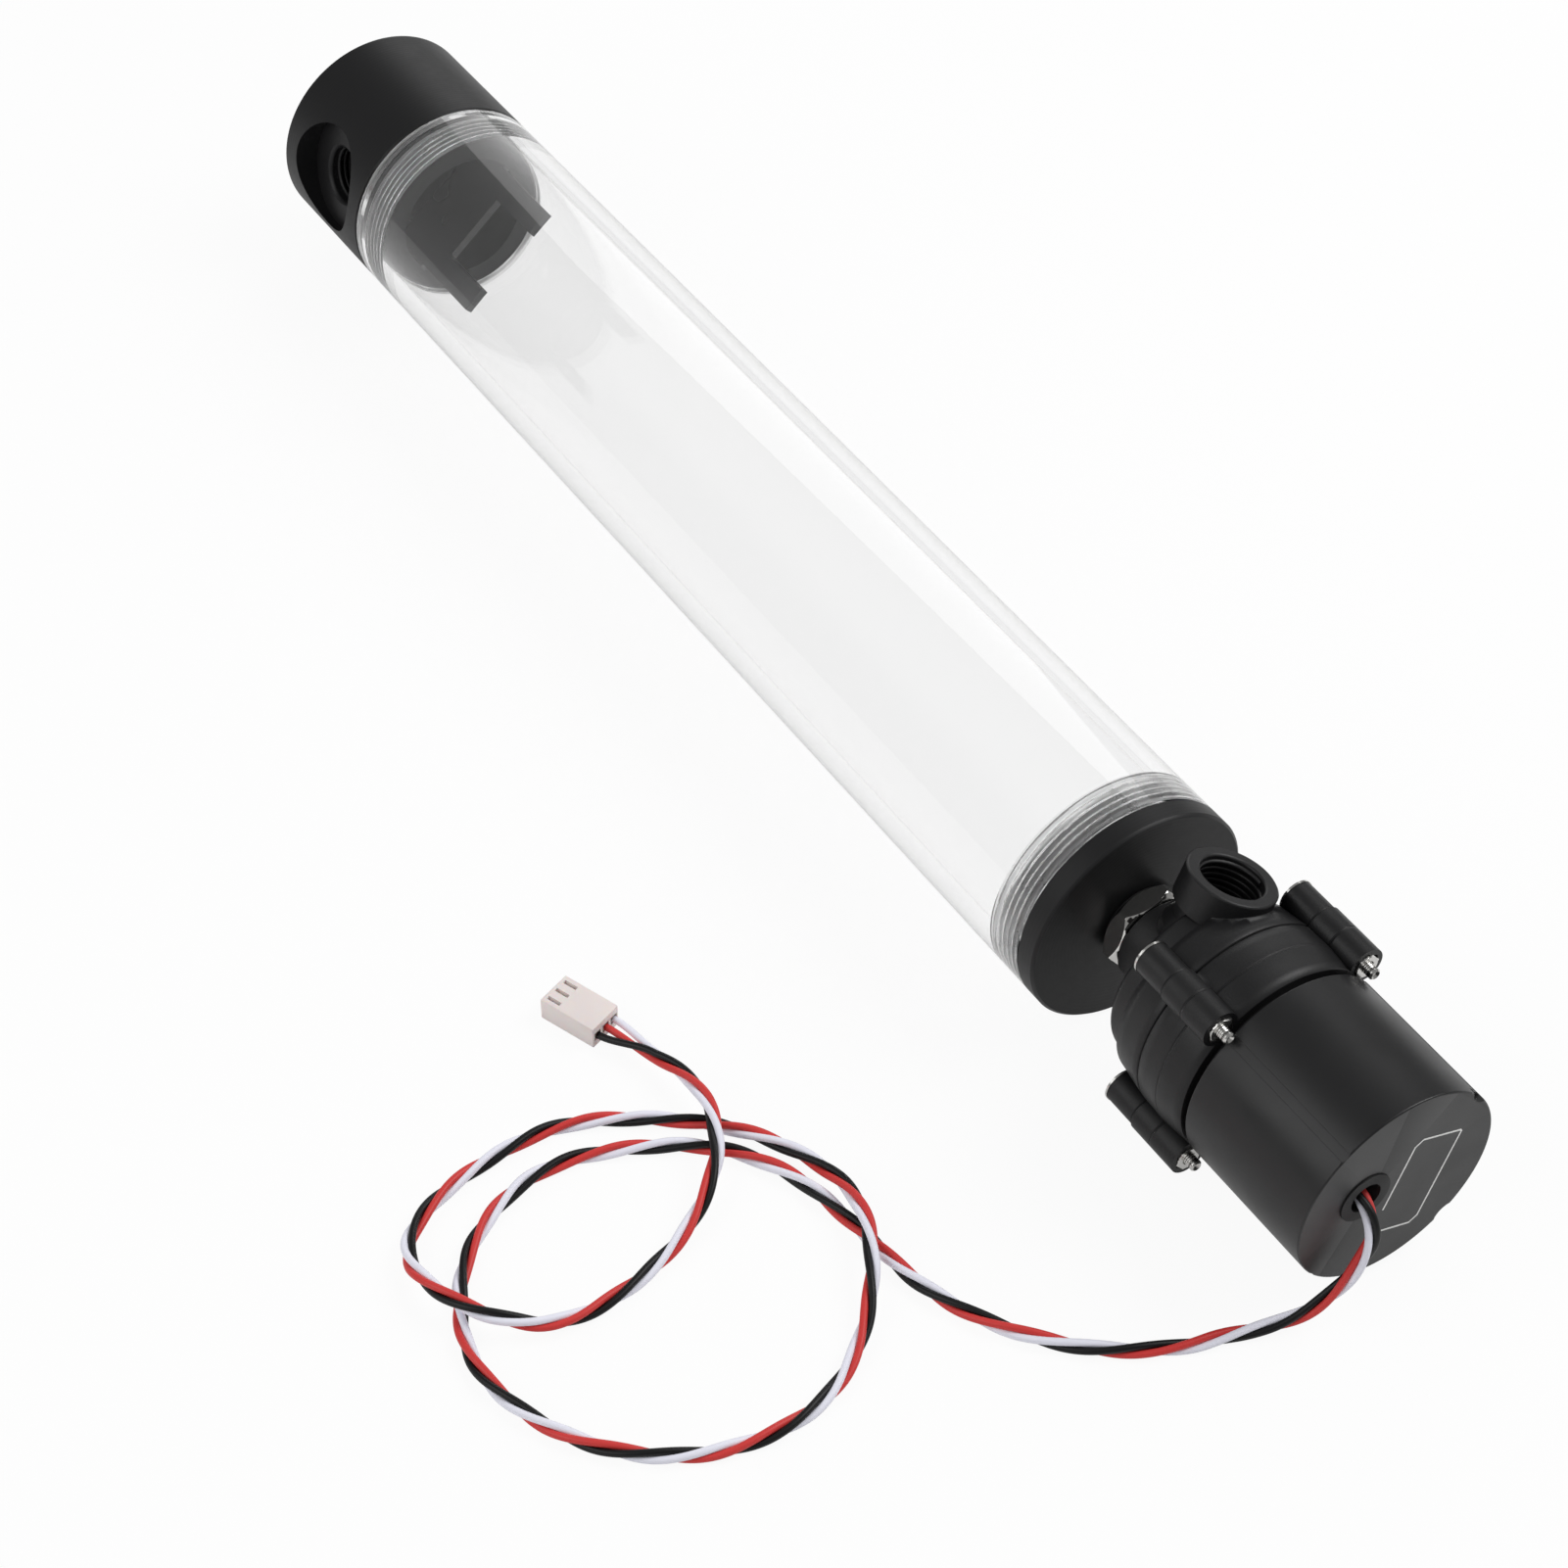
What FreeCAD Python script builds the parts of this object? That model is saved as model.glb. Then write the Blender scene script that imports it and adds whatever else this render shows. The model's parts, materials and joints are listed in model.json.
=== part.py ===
import FreeCAD, Part
import math
import os
import re
import Sketcher

# Coolant pump reservoir, lying on its side: a clear tube between two screwed caps, with a canned-rotor
# pump hanging on a double nipple at the bottom cap. Millimetres. X runs along the tube towards the motor,
# Z is up, and the origin is on the floor under the middle of the object.

SIZES = (
    ("tube_radius", 25.0, "outside of the clear tube"),
    ("tube_wall", 4.0, "wall of the tube"),
    ("tube_length", 266.0, "tube between the two caps"),
    ("cap_radius", 25.0, "outside of both caps"),
    ("cap_edge", 0.6, "chamfer on the caps' rims"),
    ("top_cap_length", 35.9, "top cap outside the tube"),
    ("bottom_flange", 5.25, "bottom cap outside the tube"),
    ("spigot_length", 9.0, "threaded spigot of the top cap inside the tube"),
    ("bottom_spigot", 7.3, "threaded spigot of the bottom cap inside the tube"),
    ("spigot_gap", 0.08, "radial clearance of the cap threads"),
    ("spigot_lead", 1.2, "lead chamfer of the spigots"),
    ("seal_section", 0.82, "section radius of the tube O-rings"),
    ("seal_squeeze", 0.03, "what is left between O-ring and tube wall"),
    ("seal_slot", 2.0, "width of the O-ring slot in the spigots"),
    ("cap_bore", 15.3, "radius of the wide bore in the caps"),
    ("top_wide_depth", 14.0, "depth of the wide bore in the top cap"),
    ("narrow_bore", 10.0, "radius of the narrow bore in the top cap"),
    ("narrow_depth", 20.0, "length of the narrow bore in the top cap"),
    ("bottom_wide_depth", 5.3, "depth of the wide bore in the bottom cap"),
    ("port_radius", 6.58, "wall radius of the threaded ports"),
    ("port_depth", 9.5, "depth of the pump's threaded ports"),
    ("port_lead", 0.4, "lead chamfer of the threaded ports"),
    ("side_port_setback", 17.6, "side port's distance from the tube end"),
    ("side_port_roll", 166.3, "roll angle of the side port"),
    ("side_seat_radius", 12.77, "spot face round the side port"),
    ("side_seat_height", 19.2, "spot face's distance from the tube's axis"),
    ("side_port_lead", 0.75, "lead chamfer of the side port"),
    ("plug_seat_radius", 9.6, "counterbore of the fill plug"),
    ("plug_seat_depth", 3.4, "depth of the fill plug's counterbore"),
    ("plug_head_radius", 9.0, "head of the fill plug"),
    ("plug_head_height", 3.0, "height of the fill plug's head"),
    ("plug_socket", 6.9, "fill plug's socket across flats"),
    ("plug_socket_depth", 5.0, "depth of the fill plug's socket"),
    ("thread_gap", 0.08, "radial clearance of the port threads"),
    ("ring_section", 0.65, "section radius of the small O-rings"),
    ("ring_radius", 7.4, "centre line of the small O-rings"),
    ("ring_slot", 1.0, "depth of the slots for the small O-rings"),
    ("ring_side_gap", 0.12, "clearance beside the small O-rings"),
    ("plate_roll", 39.0, "roll angle of the anti-vortex plate"),
    ("plate_thickness", 2.0, "thickness of the anti-vortex plate"),
    ("plate_width", 29.6, "width of the plate across its prongs"),
    ("prong_width", 6.3, "width of one prong"),
    ("prong_reach", 20.4, "prong tips beyond the spigot"),
    ("notch_reach", 5.4, "floor of the notch beyond the spigot"),
    ("plate_key", 0.7, "how far the plate's foot reaches into the cap's keyways"),
    ("plate_foot", 12.0, "length of the plate's foot in the cap"),
    ("plate_gap", 0.05, "clearance of the plate in its keyways"),
    ("hex_flats", 17.5, "nipple's hexagon across flats"),
    ("hex_length", 4.5, "nipple's hexagon along the axis"),
    ("tank_gap", 1.0, "gap between the bottom cap and the hexagon"),
    ("hex_gap", 0.5, "gap between the hexagon and the pump's inlet"),
    ("hex_chamfer", 1.3, "length of the chamfers on the hexagon's corners"),
    ("hex_face_trim", 0.15, "how far the circles on the hexagon's ends lie inside its flats"),
    ("hex_corner_trim", 0.1, "how far the hexagon's corners are turned down"),
    ("hex_roll", 40.5, "roll angle of the hexagon"),
    ("nipple_bore", 4.2, "bore radius of the nipple"),
    ("nipple_tank_shank", 6.5, "thread length in the bottom cap"),
    ("nipple_pump_shank", 8.5, "thread length in the pump inlet"),
    ("neck_radius", 9.4, "pump inlet neck"),
    ("neck_length", 10.6, "pump inlet neck along the axis"),
    ("drum_radius", 19.4, "front drum of the pump cover"),
    ("drum_length", 5.6, "front drum along the axis"),
    ("drum_round", 1.6, "rounding of the drum's front edge"),
    ("rim_front_radius", 21.4, "front edge of the cover's rim"),
    ("casing_radius", 22.6, "casing at the seam"),
    ("rim_length", 8.1, "cover's rim along the axis"),
    ("seam_chamfer", 0.25, "small chamfers that show the seam"),
    ("body_length", 12.9, "pump body along the axis"),
    ("parting_radius", 22.85, "pump body at its parting line"),
    ("parting_place", 6.1, "parting line's distance from the seam"),
    ("body_rear_radius", 22.25, "pump body at its rear edge"),
    ("cover_front_wall", 2.4, "front wall of the pump chamber"),
    ("chamber_radius", 16.8, "pump chamber"),
    ("throat_radius", 5.5, "inlet throat behind the thread"),
    ("seal_step", 18.85, "radius of the recess for the casing seal"),
    ("seal_step_depth", 4.3, "depth of that recess from the seam"),
    ("body_spigot_gap", 0.1, "clearance of the pump body's front spigot"),
    ("casing_seal_space", 1.5, "room for the casing seal along the axis"),
    ("body_wall", 3.0, "front wall of the pump body"),
    ("well_radius", 9.0, "inside of the rotor well"),
    ("well_wall", 1.1, "wall of the rotor well"),
    ("well_end", 2.6, "end wall of the rotor well"),
    ("well_clearance", 0.8, "room between the rotor well's end and the capacitors"),
    ("rear_seat", 1.9, "height of the boss that carries the shaft in the rotor well"),
    ("skirt_bore", 18.4, "bore of the pump body behind its front wall"),
    ("tail_radius", 20.1, "pump body's tail inside the motor can"),
    ("tail_length", 4.8, "tail beyond the body's rear edge"),
    ("groove_width", 1.3, "dark groove between pump body and motor can"),
    ("motor_length", 33.3, "motor can along the axis"),
    ("motor_radius", 22.35, "motor can"),
    ("motor_edge", 0.4, "rounding of the motor can's edges"),
    ("can_fit", 0.1, "radial clearance in the motor can"),
    ("can_end_wall", 2.0, "end wall of the motor can"),
    ("flute_depth", 0.25, "depth of the flutes in the motor can behind the nuts"),
    ("rim_notch_depth", 1.25, "depth of the notches in the motor can's end rim"),
    ("rim_notch_length", 1.6, "length of those notches along the axis"),
    ("lug_roll", 38.5, "roll angle of the first lug"),
    ("lug_circle", 24.5, "radius of the screw circle"),
    ("lug_radius", 3.6, "outside of the lugs on the cover"),
    ("body_lug_radius", 3.9, "outside of the lugs on the pump body"),
    ("lug_seam", 0.3, "chamfer of the pump body's lugs at the seam"),
    ("lug_setback", 0.5, "lug's front face behind the rim's front edge"),
    ("head_recess", 1.3, "depth of the recess for a screw head"),
    ("head_recess_gap", 0.15, "clearance beside a screw head"),
    ("screw_radius", 1.25, "screw thread"),
    ("screw_hole", 1.35, "clearance hole of the screws"),
    ("screw_head_radius", 2.45, "screw head"),
    ("screw_head_height", 2.1, "height of the screw head"),
    ("screw_crown", 0.6, "chamfer that crowns the screw head"),
    ("screw_reach", 2.8, "screw's end behind the pump body"),
    ("nut_flats", 5.0, "nut across flats"),
    ("nut_height", 2.0, "height of the nut"),
    ("nut_gap", 0.05, "radial clearance of the nut's thread"),
    ("nut_pocket", 1.6, "depth of a nut's pocket in its lug"),
    ("nut_pocket_gap", 0.15, "clearance beside a nut's flats"),
    ("outlet_roll", 67.5, "roll angle of the outlet"),
    ("outlet_offset", 1.55, "outlet's sideways distance from the axis"),
    ("outlet_behind_neck", 11.0, "outlet's centre behind the inlet face"),
    ("outlet_height", 23.84, "outlet's mouth above the axis"),
    ("outlet_radius", 9.33, "outlet's collar"),
    ("outlet_collar", 7.2, "height of the outlet's collar"),
    ("outlet_neck_radius", 7.6, "outlet under its collar"),
    ("outlet_foot_radius", 9.0, "foot of the outlet"),
    ("outlet_foot_cone", 2.5, "length of the cone between the outlet's neck and foot"),
    ("outlet_foot_top", 10.5, "top of the outlet's foot above the axis"),
    ("outlet_root", 8.0, "where the outlet starts above the axis"),
    ("outlet_passage", 4.5, "radius of the passage under the outlet's thread"),
    ("outlet_floor", 0.6, "floor of that passage above the outlet's root"),
    ("outlet_edge", 0.4, "chamfer of the outlet's mouth"),
    ("shaft_radius", 1.5, "ceramic shaft"),
    ("shaft_fit", 0.03, "radial clearance of the shaft in its seats"),
    ("shaft_end_gap", 0.4, "room at each end of the shaft"),
    ("shaft_hole_depth", 1.3, "shaft's hole into the end wall of the rotor well"),
    ("bush_fit", 0.06, "running clearance of the bushings"),
    ("bush_wall", 0.7, "wall of the bushings"),
    ("bush_length", 6.0, "length of the bushings"),
    ("hub_radius", 3.0, "shaft seats at both ends"),
    ("rib_thickness", 1.4, "ribs of the front shaft seat"),
    ("rib_roll", 30.0, "roll angle of the first rib"),
    ("washer_thickness", 0.8, "thrust washers"),
    ("washer_gap", 0.12, "end play at each thrust washer"),
    ("rotor_bore_fit", 0.02, "clearance between moulding, bushing and magnet"),
    ("impeller_radius", 15.2, "impeller"),
    ("impeller_disc", 1.6, "impeller's disc"),
    ("impeller_clearance", 1.1, "impeller disc in front of the body's wall"),
    ("blade_width", 7.3, "blades along the axis"),
    ("blade_thickness", 1.3, "thickness of a blade"),
    ("blade_curve", 11.0, "radius of a blade's curve"),
    ("blade_centre", 12.5, "distance of that curve's centre from the axis"),
    ("blade_start", 6.2, "inner end of the blades"),
    ("rotor_tube", 4.0, "rotor's moulded tube"),
    ("magnet_radius", 8.3, "rotor magnet"),
    ("magnet_setback", 3.7, "magnet's front behind the seam"),
    ("magnet_length", 24.0, "rotor magnet along the axis"),
    ("stator_length", 15.0, "stator core along the axis"),
    ("stator_yoke", 4.0, "yoke of the stator"),
    ("stator_gap", 0.4, "stator teeth outside the rotor well"),
    ("tooth_width", 4.0, "width of a stator tooth"),
    ("coil_thickness", 2.0, "winding round a tooth"),
    ("coil_start", 0.9, "winding behind the tip of its tooth"),
    ("coil_depth", 4.0, "winding along its tooth"),
    ("board_thickness", 1.6, "driver board"),
    ("board_gap", 0.15, "clearance round the board"),
    ("board_ledge", 1.6, "ledge that carries the board"),
    ("board_space", 4.6, "room between the board and the end wall"),
    ("chip_side", 7.0, "driver chip"),
    ("chip_height", 1.2, "driver chip's height"),
    ("capacitor_radius", 2.5, "capacitor on the board"),
    ("capacitor_height", 3.2, "capacitor's height"),
    ("capacitor_place", 13.5, "capacitor's distance from the axis"),
    ("exit_y", -7.5, "cable hole in the end wall, sideways"),
    ("exit_z", 2.1, "cable hole in the end wall, above the axis"),
    ("grommet_bore", 3.35, "bore of the grommet"),
    ("grommet_neck", 4.35, "grommet in the end wall"),
    ("grommet_flange", 5.6, "flanges of the grommet"),
    ("grommet_flange_depth", 0.9, "thickness of the grommet's flanges"),
    ("grommet_proud", 0.3, "how far the outer flange stands out of the can"),
    ("grommet_fit", 0.05, "clearance of the grommet in its hole"),
    ("cord_radius", 1.6, "twisted three-wire lead"),
    ("plug_x", 59.6, "middle of the plug"),
    ("plug_y", -93.7, "middle of the plug"),
    ("plug_turn", 20.5, "plug's turn seen from above"),
    ("plug_length", 13.2, "plug housing"),
    ("plug_width", 8.0, "plug housing"),
    ("plug_thickness", 5.4, "plug housing"),
    ("plug_pitch", 2.54, "spacing of the plug's contacts"),
    ("plug_cavity", 1.7, "side of a contact's cavity"),
    ("plug_back_wall", 1.2, "housing behind the cavities"),
    ("window_setback", 4.4, "latch windows behind the plug's mouth"),
    ("window_length", 3.2, "latch windows"),
    ("contact_side", 1.3, "side of a contact"),
    ("contact_length", 9.5, "length of a contact"),
)

# Places along the axis, each from the one before it. "face" is the outer face of the bottom cap.
PLACES = {
    "axis_height": "cap_radius",
    "nipple_reach": "tank_gap + hex_length + hex_gap",
    "pump_reach": "nipple_reach + neck_length + drum_length + rim_length + body_length + groove_width"
                  " + motor_length",
    "face": "(top_cap_length + tube_length + bottom_flange - pump_reach - grommet_proud) / 2",
    "tube_start": "face - bottom_flange - tube_length",
    "cap_start": "tube_start - top_cap_length",
    "cap_tip": "top_cap_length + spigot_length",
    "tube_bore": "tube_radius - tube_wall",
    "spigot_radius": "tube_bore - spigot_gap",
    "seal_line": "tube_bore - seal_squeeze - seal_section",
    "seal_floor": "seal_line - seal_section - seal_squeeze",
    "plug_thread": "cap_tip - top_wide_depth - narrow_depth - plug_seat_depth",
    "thread_radius": "port_radius - thread_gap",
    "ring_outside": "ring_radius + ring_section + ring_side_gap",
    "hex_front": "nipple_tank_shank + tank_gap",
    "hex_rear": "hex_front + hex_length",
    "nipple_length": "nipple_tank_shank + nipple_reach + nipple_pump_shank",
    "inlet_face": "face + nipple_reach",
    "drum_front": "inlet_face + neck_length",
    "rim_front": "drum_front + drum_length",
    "seam": "rim_front + rim_length",
    "body_rear": "seam + body_length",
    "head_seat": "rim_front + lug_setback + head_recess",
    "screw_length": "body_rear + screw_reach - head_seat",
    "can_front": "body_rear + groove_width",
    "can_rear": "can_front + motor_length",
    "well_depth": "can_rear - seam - can_end_wall - board_space - board_thickness - capacitor_height"
                  " - well_clearance - well_end",
    "can_bore": "tail_radius + can_fit",
    "chamber_front": "drum_front + cover_front_wall",
    "shaft_front": "drum_front + shaft_end_gap",
    "shaft_rear": "seam + well_depth + shaft_hole_depth - shaft_end_gap",
    "rotor_front": "chamber_front + washer_thickness + washer_gap",
    "rotor_rear": "seam + well_depth - rear_seat - washer_thickness - washer_gap",
    "disc_rear": "seam - impeller_clearance",
    "bush_radius": "shaft_radius + bush_fit + bush_wall",
    "stator_front": "body_rear + tail_length",
    "tooth_tip": "well_radius + well_wall + stator_gap",
    "yoke_inner": "tail_radius - stator_yoke",
    "board_rear": "can_rear - can_end_wall - board_space",
    "flange_seat": "grommet_flange_depth - grommet_proud",
}

LUGS = 4
NOTCHED_LUGS = (0, 3)
RIBS = 3
BLADES = 7
TEETH = 6
CONTACTS = 3

# The three-wire lead's route over the floor, point by point, as it lies in the photograph: down from the
# motor can's end, round to the left, twice round a loose hank, and back over it to the plug. The first and
# last points are worked out from the board and the plug.
LEAD_ROUTE = (
    (192.6, -7.6, 27.0), (197.2, -8.4, 22.5), (197.3, -10.6, 15.4), (196.2, -15.4, 7.6),
    (193.9, -22.4, 2.6), (190.4, -31.6, 1.7), (186.8, -44.2, 1.7), (178.2, -57.4, 1.7),
    (164.8, -68.4, 1.7), (149.6, -74.8, 1.7), (132.6, -76.6, 1.7), (115.4, -79.6, 1.7),
    (101.6, -88.4, 1.7), (92.6, -103.2, 1.7), (87.9, -119.6, 1.7), (93.4, -135.4, 1.7),
    (104.0, -146.6, 1.7), (120.4, -153.2, 1.7), (138.6, -149.0, 1.7), (153.4, -138.2, 1.7),
    (162.0, -123.0, 1.7), (163.0, -104.4, 1.7), (154.6, -89.8, 2.0), (142.4, -79.4, 5.3),
    (129.4, -73.8, 5.3), (114.4, -75.0, 2.2), (100.2, -82.6, 1.7), (88.6, -96.0, 1.7),
    (80.6, -111.4, 1.7), (80.9, -127.4, 1.7), (84.4, -141.8, 1.7), (91.8, -151.2, 2.4),
    (103.6, -151.8, 5.3), (115.8, -145.6, 5.3), (122.6, -134.6, 2.4), (121.6, -118.6, 1.7),
    (116.6, -103.8, 2.2), (109.0, -92.8, 5.3), (99.2, -86.8, 5.3), (89.6, -84.9, 5.3),
    (77.0, -87.2, 3.2),
)
LEAD_SHARE = 0.45

doc = FreeCAD.newDocument("coolant_pump_reservoir")
sheet = doc.addObject("Spreadsheet::Sheet", "Sizes")
for row, (alias, number, meaning) in enumerate(SIZES, 1):
    sheet.set("A%d" % row, meaning)
    sheet.set("B%d" % row, str(number))
    sheet.setAlias("B%d" % row, alias)
doc.recompute()
ALIASES = {alias for alias, number, meaning in SIZES}
parts = []


def named(text):
    """Write an expression out, with each place worked out from the sheet's cells."""
    def swap(match):
        word = match.group(0)
        if word in PLACES:
            return "(" + named(PLACES[word]) + ")"
        return "Sizes." + word if word in ALIASES else word
    return re.sub(r"[A-Za-z_]\w*", swap, str(text))


def value(text):
    """The number that an expression has now."""
    return float(sheet.evalExpression(named(text)))


def bind(obj, **sizes):
    """Tie properties of an object to expressions. Two underscores stand for a dot in the name."""
    for name, text in sizes.items():
        obj.setExpression(name.replace("__", "."), named(text))
    return obj


def place(obj, x, y="0", z="0"):
    return bind(obj, Placement__Base__x=x, Placement__Base__y=y, Placement__Base__z=z)


def turn_about(obj, axis, angle):
    """Turn an object about an axis by an angle that may be an expression."""
    turned_by = FreeCAD.Rotation(FreeCAD.Vector(*axis), 45)
    obj.Placement = FreeCAD.Placement(FreeCAD.Vector(), turned_by)
    return bind(obj, Placement__Rotation__Angle=angle)


def along(obj, x, y="0", z="0"):
    """Lay an upright solid along the axis, from x towards the motor."""
    obj.Placement = FreeCAD.Placement(FreeCAD.Vector(), FreeCAD.Rotation(FreeCAD.Vector(0, 1, 0), 90))
    return place(obj, x, y, z)


def rod(name, radius, length, x, y="0", z="0"):
    """A cylinder along the axis."""
    obj = bind(doc.addObject("Part::Cylinder", name), Radius=radius, Height=length)
    return along(obj, x, y, z)


def pipe(name, bore, radius, length, x):
    """A hollow cylinder along the axis."""
    return cut(name, rod(name + "_outside", radius, length, x), [rod(name + "_bore", bore, length, x)])


def ring(name, radius, section, x):
    """A torus about the axis."""
    return along(bind(doc.addObject("Part::Torus", name), Radius1=radius, Radius2=section), x)


def across(obj, x, roll, start, offset="0"):
    """Stand an upright solid across the axis: start is its foot's height, offset its sideways place."""
    turn_about(obj, (1, 0, 0), "%s - 90" % roll)
    y = "(%s) * cos(%s) - (%s) * sin(%s)" % (start, roll, offset, roll)
    z = "(%s) * sin(%s) + (%s) * cos(%s)" % (start, roll, offset, roll)
    return place(obj, x, y, z)


def spoke(name, radius, length, x, roll, start, offset="0"):
    """A cylinder across the axis at a roll angle."""
    obj = bind(doc.addObject("Part::Cylinder", name), Radius=radius, Height=length)
    return across(obj, x, roll, start, offset)


def spoke_cone(name, first, second, length, x, roll, start, offset="0"):
    obj = bind(doc.addObject("Part::Cone", name), Radius1=first, Radius2=second, Height=length)
    return across(obj, x, roll, start, offset)


def hexagon(name, flats, length, x):
    """A six-sided prism along the axis."""
    obj = doc.addObject("Part::Prism", name)
    obj.Polygon = 6
    bind(obj, Circumradius="(%s) / (2 * cos(30))" % flats, Height=length)
    return along(obj, x)


def block(name, length, width, height, x, y, z="0"):
    """A box with its sides along X, Y and Z, placed by its low corner."""
    obj = bind(doc.addObject("Part::Box", name), Length=length, Width=width, Height=height)
    return place(obj, x, y, z)


def copy_of(name, shape, x="0", y="0", z="0"):
    obj = doc.addObject("Part::Compound", name)
    obj.Links = [shape]
    return place(obj, x, y, z)


def roll_by(name, shape, angle):
    """Roll a shape about the axis."""
    obj = doc.addObject("Part::Compound", name)
    obj.Links = [shape]
    return turn_about(obj, (1, 0, 0), angle)


def fuse(name, shapes):
    obj = doc.addObject("Part::MultiFuse", name)
    obj.Shapes = shapes
    obj.Refine = True
    return obj


def cut(name, base, tools):
    obj = doc.addObject("Part::Cut", name)
    obj.Base = base
    obj.Tool = tools[0] if len(tools) == 1 else fuse(name + "_cutters", tools)
    obj.Refine = True
    return obj


def common(name, first, second):
    obj = doc.addObject("Part::MultiCommon", name)
    obj.Shapes = [first, second]
    return obj


def group(name, shapes):
    """Separate solids that share one node."""
    obj = doc.addObject("Part::Compound", name)
    obj.Links = shapes
    return obj


def finish(obj, label, x):
    """Name a sub-part, and put its own origin at x on the axis."""
    obj.Label = label
    place(obj, x, "0", "axis_height")
    parts.append(obj)
    return obj


def origin_plane(body, role):
    return next(item for item in body.Origin.OriginFeatures if item.Role == role)


def outline(body, name, corners, role="XY_Plane"):
    """A closed sketch through corners whose two distances are expressions."""
    sketch = body.newObject("Sketcher::SketchObject", name)
    sketch.AttachmentSupport = (origin_plane(body, role), [""])
    sketch.MapMode = "FlatFace"
    points = [FreeCAD.Vector(value(x), value(y), 0) for x, y in corners]
    lines = []
    for start, end in zip(points, points[1:] + points[:1]):
        lines.append(sketch.addGeometry(Part.LineSegment(start, end), False))
    for line, following in zip(lines, lines[1:] + lines[:1]):
        sketch.addConstraint(Sketcher.Constraint("Coincident", line, 2, following, 1))
    for line, corner in zip(lines, corners):
        for kind, axis, text in (("DistanceX", -2, corner[0]), ("DistanceY", -1, corner[1])):
            if text == "0":
                sketch.addConstraint(Sketcher.Constraint("PointOnObject", line, 1, axis))
                continue
            held = Sketcher.Constraint(kind, -1, 1, line, 1, value(text))
            number = sketch.addConstraint(held)
            sketch.setExpression("Constraints[%d]" % number, named(text))
    return sketch


def turned(name, corners):
    """A body turned about the axis from corners of (place along the axis, radius)."""
    body = doc.addObject("PartDesign::Body", name)
    sketch = outline(body, name + "_outline", corners)
    solid = body.newObject("PartDesign::Revolution", name + "_turned")
    solid.Profile = sketch
    solid.ReferenceAxis = (sketch, ["H_Axis"])
    solid.Angle = 360
    doc.recompute()
    return body


def edges_at(shape, x, radius):
    """Names of the circular edges of a shape at a place along the axis and a radius."""
    found = []
    for number, edge in enumerate(shape.Edges, 1):
        if isinstance(edge.Curve, Part.Circle):
            same_place = abs(edge.Curve.Center.x - value(x)) < 0.01
            if same_place and abs(edge.Curve.Radius - value(radius)) < 0.01:
                found.append("Edge%d" % number)
    return found


def dress(body, kind, size, edges):
    """Fillet or chamfer edges given as (place along the axis, radius)."""
    base = body.Tip
    names = [name for x, radius in edges for name in edges_at(base.Shape, x, radius)]
    feature = body.newObject("PartDesign::" + kind, body.Name + "_" + kind.lower())
    feature.Base = (base, names)
    bind(feature, **{"Radius" if kind == "Fillet" else "Size": size})
    body.Tip = feature
    doc.recompute()
    return body


def lug_place(number):
    angle = "(lug_roll + %d)" % (360 // LUGS * number)
    return "lug_circle * cos%s" % angle, "lug_circle * sin%s" % angle


def lug_rods(name, radius, length, x, lugs=range(LUGS)):
    """One cylinder at each lug."""
    return [rod("%s_%d" % (name, number), radius, length, x, *lug_place(number)) for number in lugs]


def lug_cones(name, first, second, length, x):
    """One cone at each lug."""
    cones = []
    for number in range(LUGS):
        cone = doc.addObject("Part::Cone", "%s_%d" % (name, number))
        bind(cone, Radius1=first, Radius2=second, Height=length)
        cones.append(along(cone, x, *lug_place(number)))
    return cones


# Clear tube
finish(turned("tube_stock", (
    ("0", "tube_bore"), ("tube_length", "tube_bore"), ("tube_length", "tube_radius"), ("0", "tube_radius"))),
       "tube", "tube_start")


def spigot_corners(root, way, length):
    """Outline of a spigot from the flange to its tip, towards +X or -X, with the seal's slot."""
    return (
        (root, "seal_floor"), ("%s %s seal_slot" % (root, way), "seal_floor"),
        ("%s %s seal_slot" % (root, way), "spigot_radius"),
        ("%s %s (%s - spigot_lead)" % (root, way, length), "spigot_radius"),
        ("%s %s %s" % (root, way, length), "spigot_radius - spigot_lead"))


# Top cap: flange, threaded spigot, stepped bore, fill port in its end and a side port with a spot face
top_stock = turned("top_cap_stock", (
    ("0", "plug_seat_radius"), ("0", "cap_radius"), ("top_cap_length", "cap_radius"),
    *spigot_corners("top_cap_length", "+", "spigot_length"),
    ("cap_tip", "cap_bore"), ("cap_tip - top_wide_depth", "cap_bore"),
    ("cap_tip - top_wide_depth", "narrow_bore"), ("plug_seat_depth + plug_thread", "narrow_bore"),
    ("plug_seat_depth + plug_thread", "port_radius"), ("plug_seat_depth", "port_radius"),
    ("plug_seat_depth", "plug_seat_radius")))
dress(top_stock, "Chamfer", "cap_edge", (("0", "cap_radius"), ("top_cap_length", "cap_radius")))
side_port = ("top_cap_length - side_port_setback", "side_port_roll")
keyway_half = "(cap_bore + plate_key + plate_gap)"
keyways = roll_by("keyway_cutter", block(
    "keyway_block", "plate_foot + plate_gap", "2 * " + keyway_half, "plate_thickness + 2 * plate_gap",
    "cap_tip - plate_foot - plate_gap", "-" + keyway_half, "-(plate_thickness / 2 + plate_gap)"),
                  "plate_roll")
finish(cut("top_cap_cut", top_stock, [
    spoke("side_seat_cutter", "side_seat_radius", "cap_radius", *side_port, "side_seat_height"),
    spoke("side_port_cutter", "port_radius", "cap_radius", *side_port, "narrow_bore / 2"),
    spoke_cone("side_port_lead_cutter", "port_radius", "port_radius + side_port_lead", "side_port_lead",
               *side_port, "side_seat_height - side_port_lead"),
    keyways]), "top_cap", "cap_start")

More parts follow.
